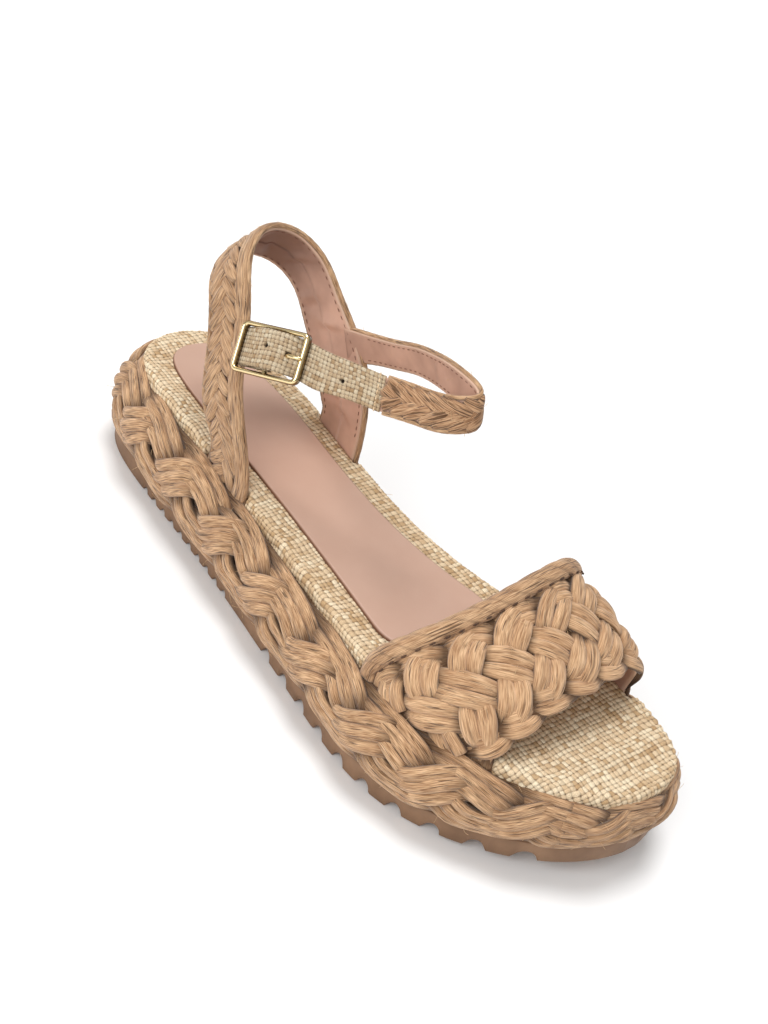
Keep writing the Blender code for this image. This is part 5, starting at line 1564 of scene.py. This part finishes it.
# %% Loose fibres
hair_tree, given = start_tree("loose_fibres", (("Density", "NodeSocketFloat", 20000.0),
                                               ("Length", "NodeSocketFloat", 6 * MM),
                                               ("Thickness", "NodeSocketFloat", 0.07 * MM),
                                               ("Seed", "NodeSocketInt", 1),
                                               ("Fibre", "NodeSocketMaterial", None)))
scatter = add_node(hair_tree, "GeometryNodeDistributePointsOnFaces",
                   {"Mesh": given["Geometry"], "Density": given["Density"], "Seed": given["Seed"]})
arc = add_step(hair_tree, "GeometryNodeCurveQuadraticBezier",
               {"Resolution": 5, "Start": (0, 0, -0.02), "Middle": (0.5, 0.06, 0.14), "End": (1, 0, 0.05)})
hair_width = sums(hair_tree, "DIVIDE", given["Thickness"], given["Length"])
ring = add_step(hair_tree, "GeometryNodeCurvePrimitiveCircle", {"Resolution": 3, "Radius": hair_width})
hair = add_step(hair_tree, "GeometryNodeCurveToMesh",
                {"Curve": arc, "Profile Curve": ring, "Fill Caps": True})
spin = add_step(hair_tree, "FunctionNodeRandomValue",
                {0: (-0.1, -0.15, 0.0), 1: (0.1, 0.1, FULL_TURN), "Seed": given["Seed"]},
                data_type="FLOAT_VECTOR")
spin = add_step(hair_tree, "FunctionNodeEulerToRotation", {0: spin})
turned = add_step(hair_tree, "FunctionNodeRotateRotation",
                  {0: scatter.outputs["Rotation"], 1: spin}, rotation_space="LOCAL")
size = add_node(hair_tree, "FunctionNodeRandomValue", {2: 0.45, 3: 1.25, "Seed": given["Seed"]},
                data_type="FLOAT").outputs[1]
size = sums(hair_tree, "MULTIPLY", size, given["Length"])
hairs = add_step(hair_tree, "GeometryNodeInstanceOnPoints",
                 {"Points": scatter.outputs["Points"], "Instance": hair, "Rotation": turned, "Scale": size})
end_tree(hair_tree, hairs, given["Fibre"])

HAIR_THICKNESS = 0.06 * MM
hair_finish = thread_finish("loose_fibre", tint(226, 194, 152), tint(190, 152, 110))
for piece, density, length, seed in ((platform_piece, 9000.0, 4 * MM, 3), (band_piece, 14000.0, 3.5 * MM, 4),
                                     (heel_piece, 26000.0, 2.8 * MM, 5), (ankle_piece, 26000.0, 2.5 * MM, 6)):
    settings = {"Density": density, "Length": length, "Thickness": HAIR_THICKNESS, "Seed": seed,
                "Fibre": hair_finish}
    run_tree(piece.name + "_fibres", piece.data, hair_tree, settings, hair_finish)

# %% [markdown]
# The photograph is a shop picture: a white floor, wide soft light from above, and a camera close over
# the outer side of the toe, tilted a little. A bright surround and a wide soft lamp high above the foot,
# a little to its inner side, give the soft shadow that lies along the outer side and under the toe. A
# second lamp lights the outer side, and the surround is darker low down so that the gold has something to
# reflect.

# %% Floor, light and camera
floor_finish, tree, shader = start_finish("pale_floor", grey(0.96), 0.9)
shader.inputs["Specular IOR Level"].default_value = 0.1
floor_mesh = bpy.data.meshes.new("floor")
FLOOR_HALF = 6.0
floor_corners = [(x * FLOOR_HALF, y * FLOOR_HALF, 0) for x, y in ((-1, -1), (1, -1), (1, 1), (-1, 1))]
floor_mesh.from_pydata(floor_corners, [], [(0, 1, 2, 3)])
floor_mesh.materials.append(floor_finish)
floor = bpy.data.objects.new("floor", floor_mesh)
bpy.context.scene.collection.objects.link(floor)

world = bpy.data.worlds.new("studio")
world.use_nodes = True
bpy.context.scene.world = world
tree = world.node_tree
direction = add_node(tree, "ShaderNodeTexCoord").outputs["Generated"]
height = add_node(tree, "ShaderNodeSeparateXYZ", {0: direction}).outputs["Z"]
sky = ramp(tree, height, (0.0, grey(0.25)), (0.2, grey(0.27)), (0.5, grey(0.56)), (1.0, grey(0.6)))
tree.links.new(sky, tree.nodes["Background"].inputs["Color"])
bpy.context.scene.view_settings.view_transform = "Standard"


def add_lamp(lamp, place):
    item = bpy.data.objects.new(lamp.name, lamp)
    item.location = place
    item.rotation_euler = (Vector((0, 0, 0.05)) - Vector(place)).to_track_quat("-Z", "Y").to_euler()
    bpy.context.scene.collection.objects.link(item)


key = bpy.data.lights.new("key_lamp", "SUN")
key.energy, key.angle = 1.65, math.radians(28)
add_lamp(key, (-0.12, -0.25, 1.2))
fill = bpy.data.lights.new("fill_lamp", "AREA")
fill.shape, fill.size, fill.energy = "DISK", 0.9, 8.5
add_lamp(fill, (1.1, 0.1, 0.7))

AZIMUTH, ELEVATION, ROLL = (math.radians(angle) for angle in (127.01, 35.09, 21.28))
CAMERA_TARGET = Vector((0.0, 0.124, 0.040)) + Vector(HEEL_TIP)
CAMERA_DISTANCE = 0.52
IMAGE_HEIGHT = 1024
FOCAL_PIXELS, RAISED_PIXELS = 1560, 17
camera_data = bpy.data.cameras.new("camera")
camera_data.lens = FOCAL_PIXELS / IMAGE_HEIGHT * camera_data.sensor_width
camera_data.shift_y = RAISED_PIXELS / IMAGE_HEIGHT
back = Vector((math.sin(AZIMUTH) * math.cos(ELEVATION), -math.cos(AZIMUTH) * math.cos(ELEVATION),
               math.sin(ELEVATION)))
level = Vector((0, 0, 1)).cross(back).normalized()
upright = back.cross(level)
right = level * math.cos(ROLL) + upright * math.sin(ROLL)
up = upright * math.cos(ROLL) - level * math.sin(ROLL)
camera = bpy.data.objects.new("camera", camera_data)
camera.matrix_world = (Matrix.Translation(CAMERA_TARGET + back * CAMERA_DISTANCE)
                       @ Matrix((right, up, back)).transposed().to_4x4())
bpy.context.scene.collection.objects.link(camera)
bpy.context.scene.camera = camera
print("camera at", [round(value, 4) for value in camera.matrix_world.translation])
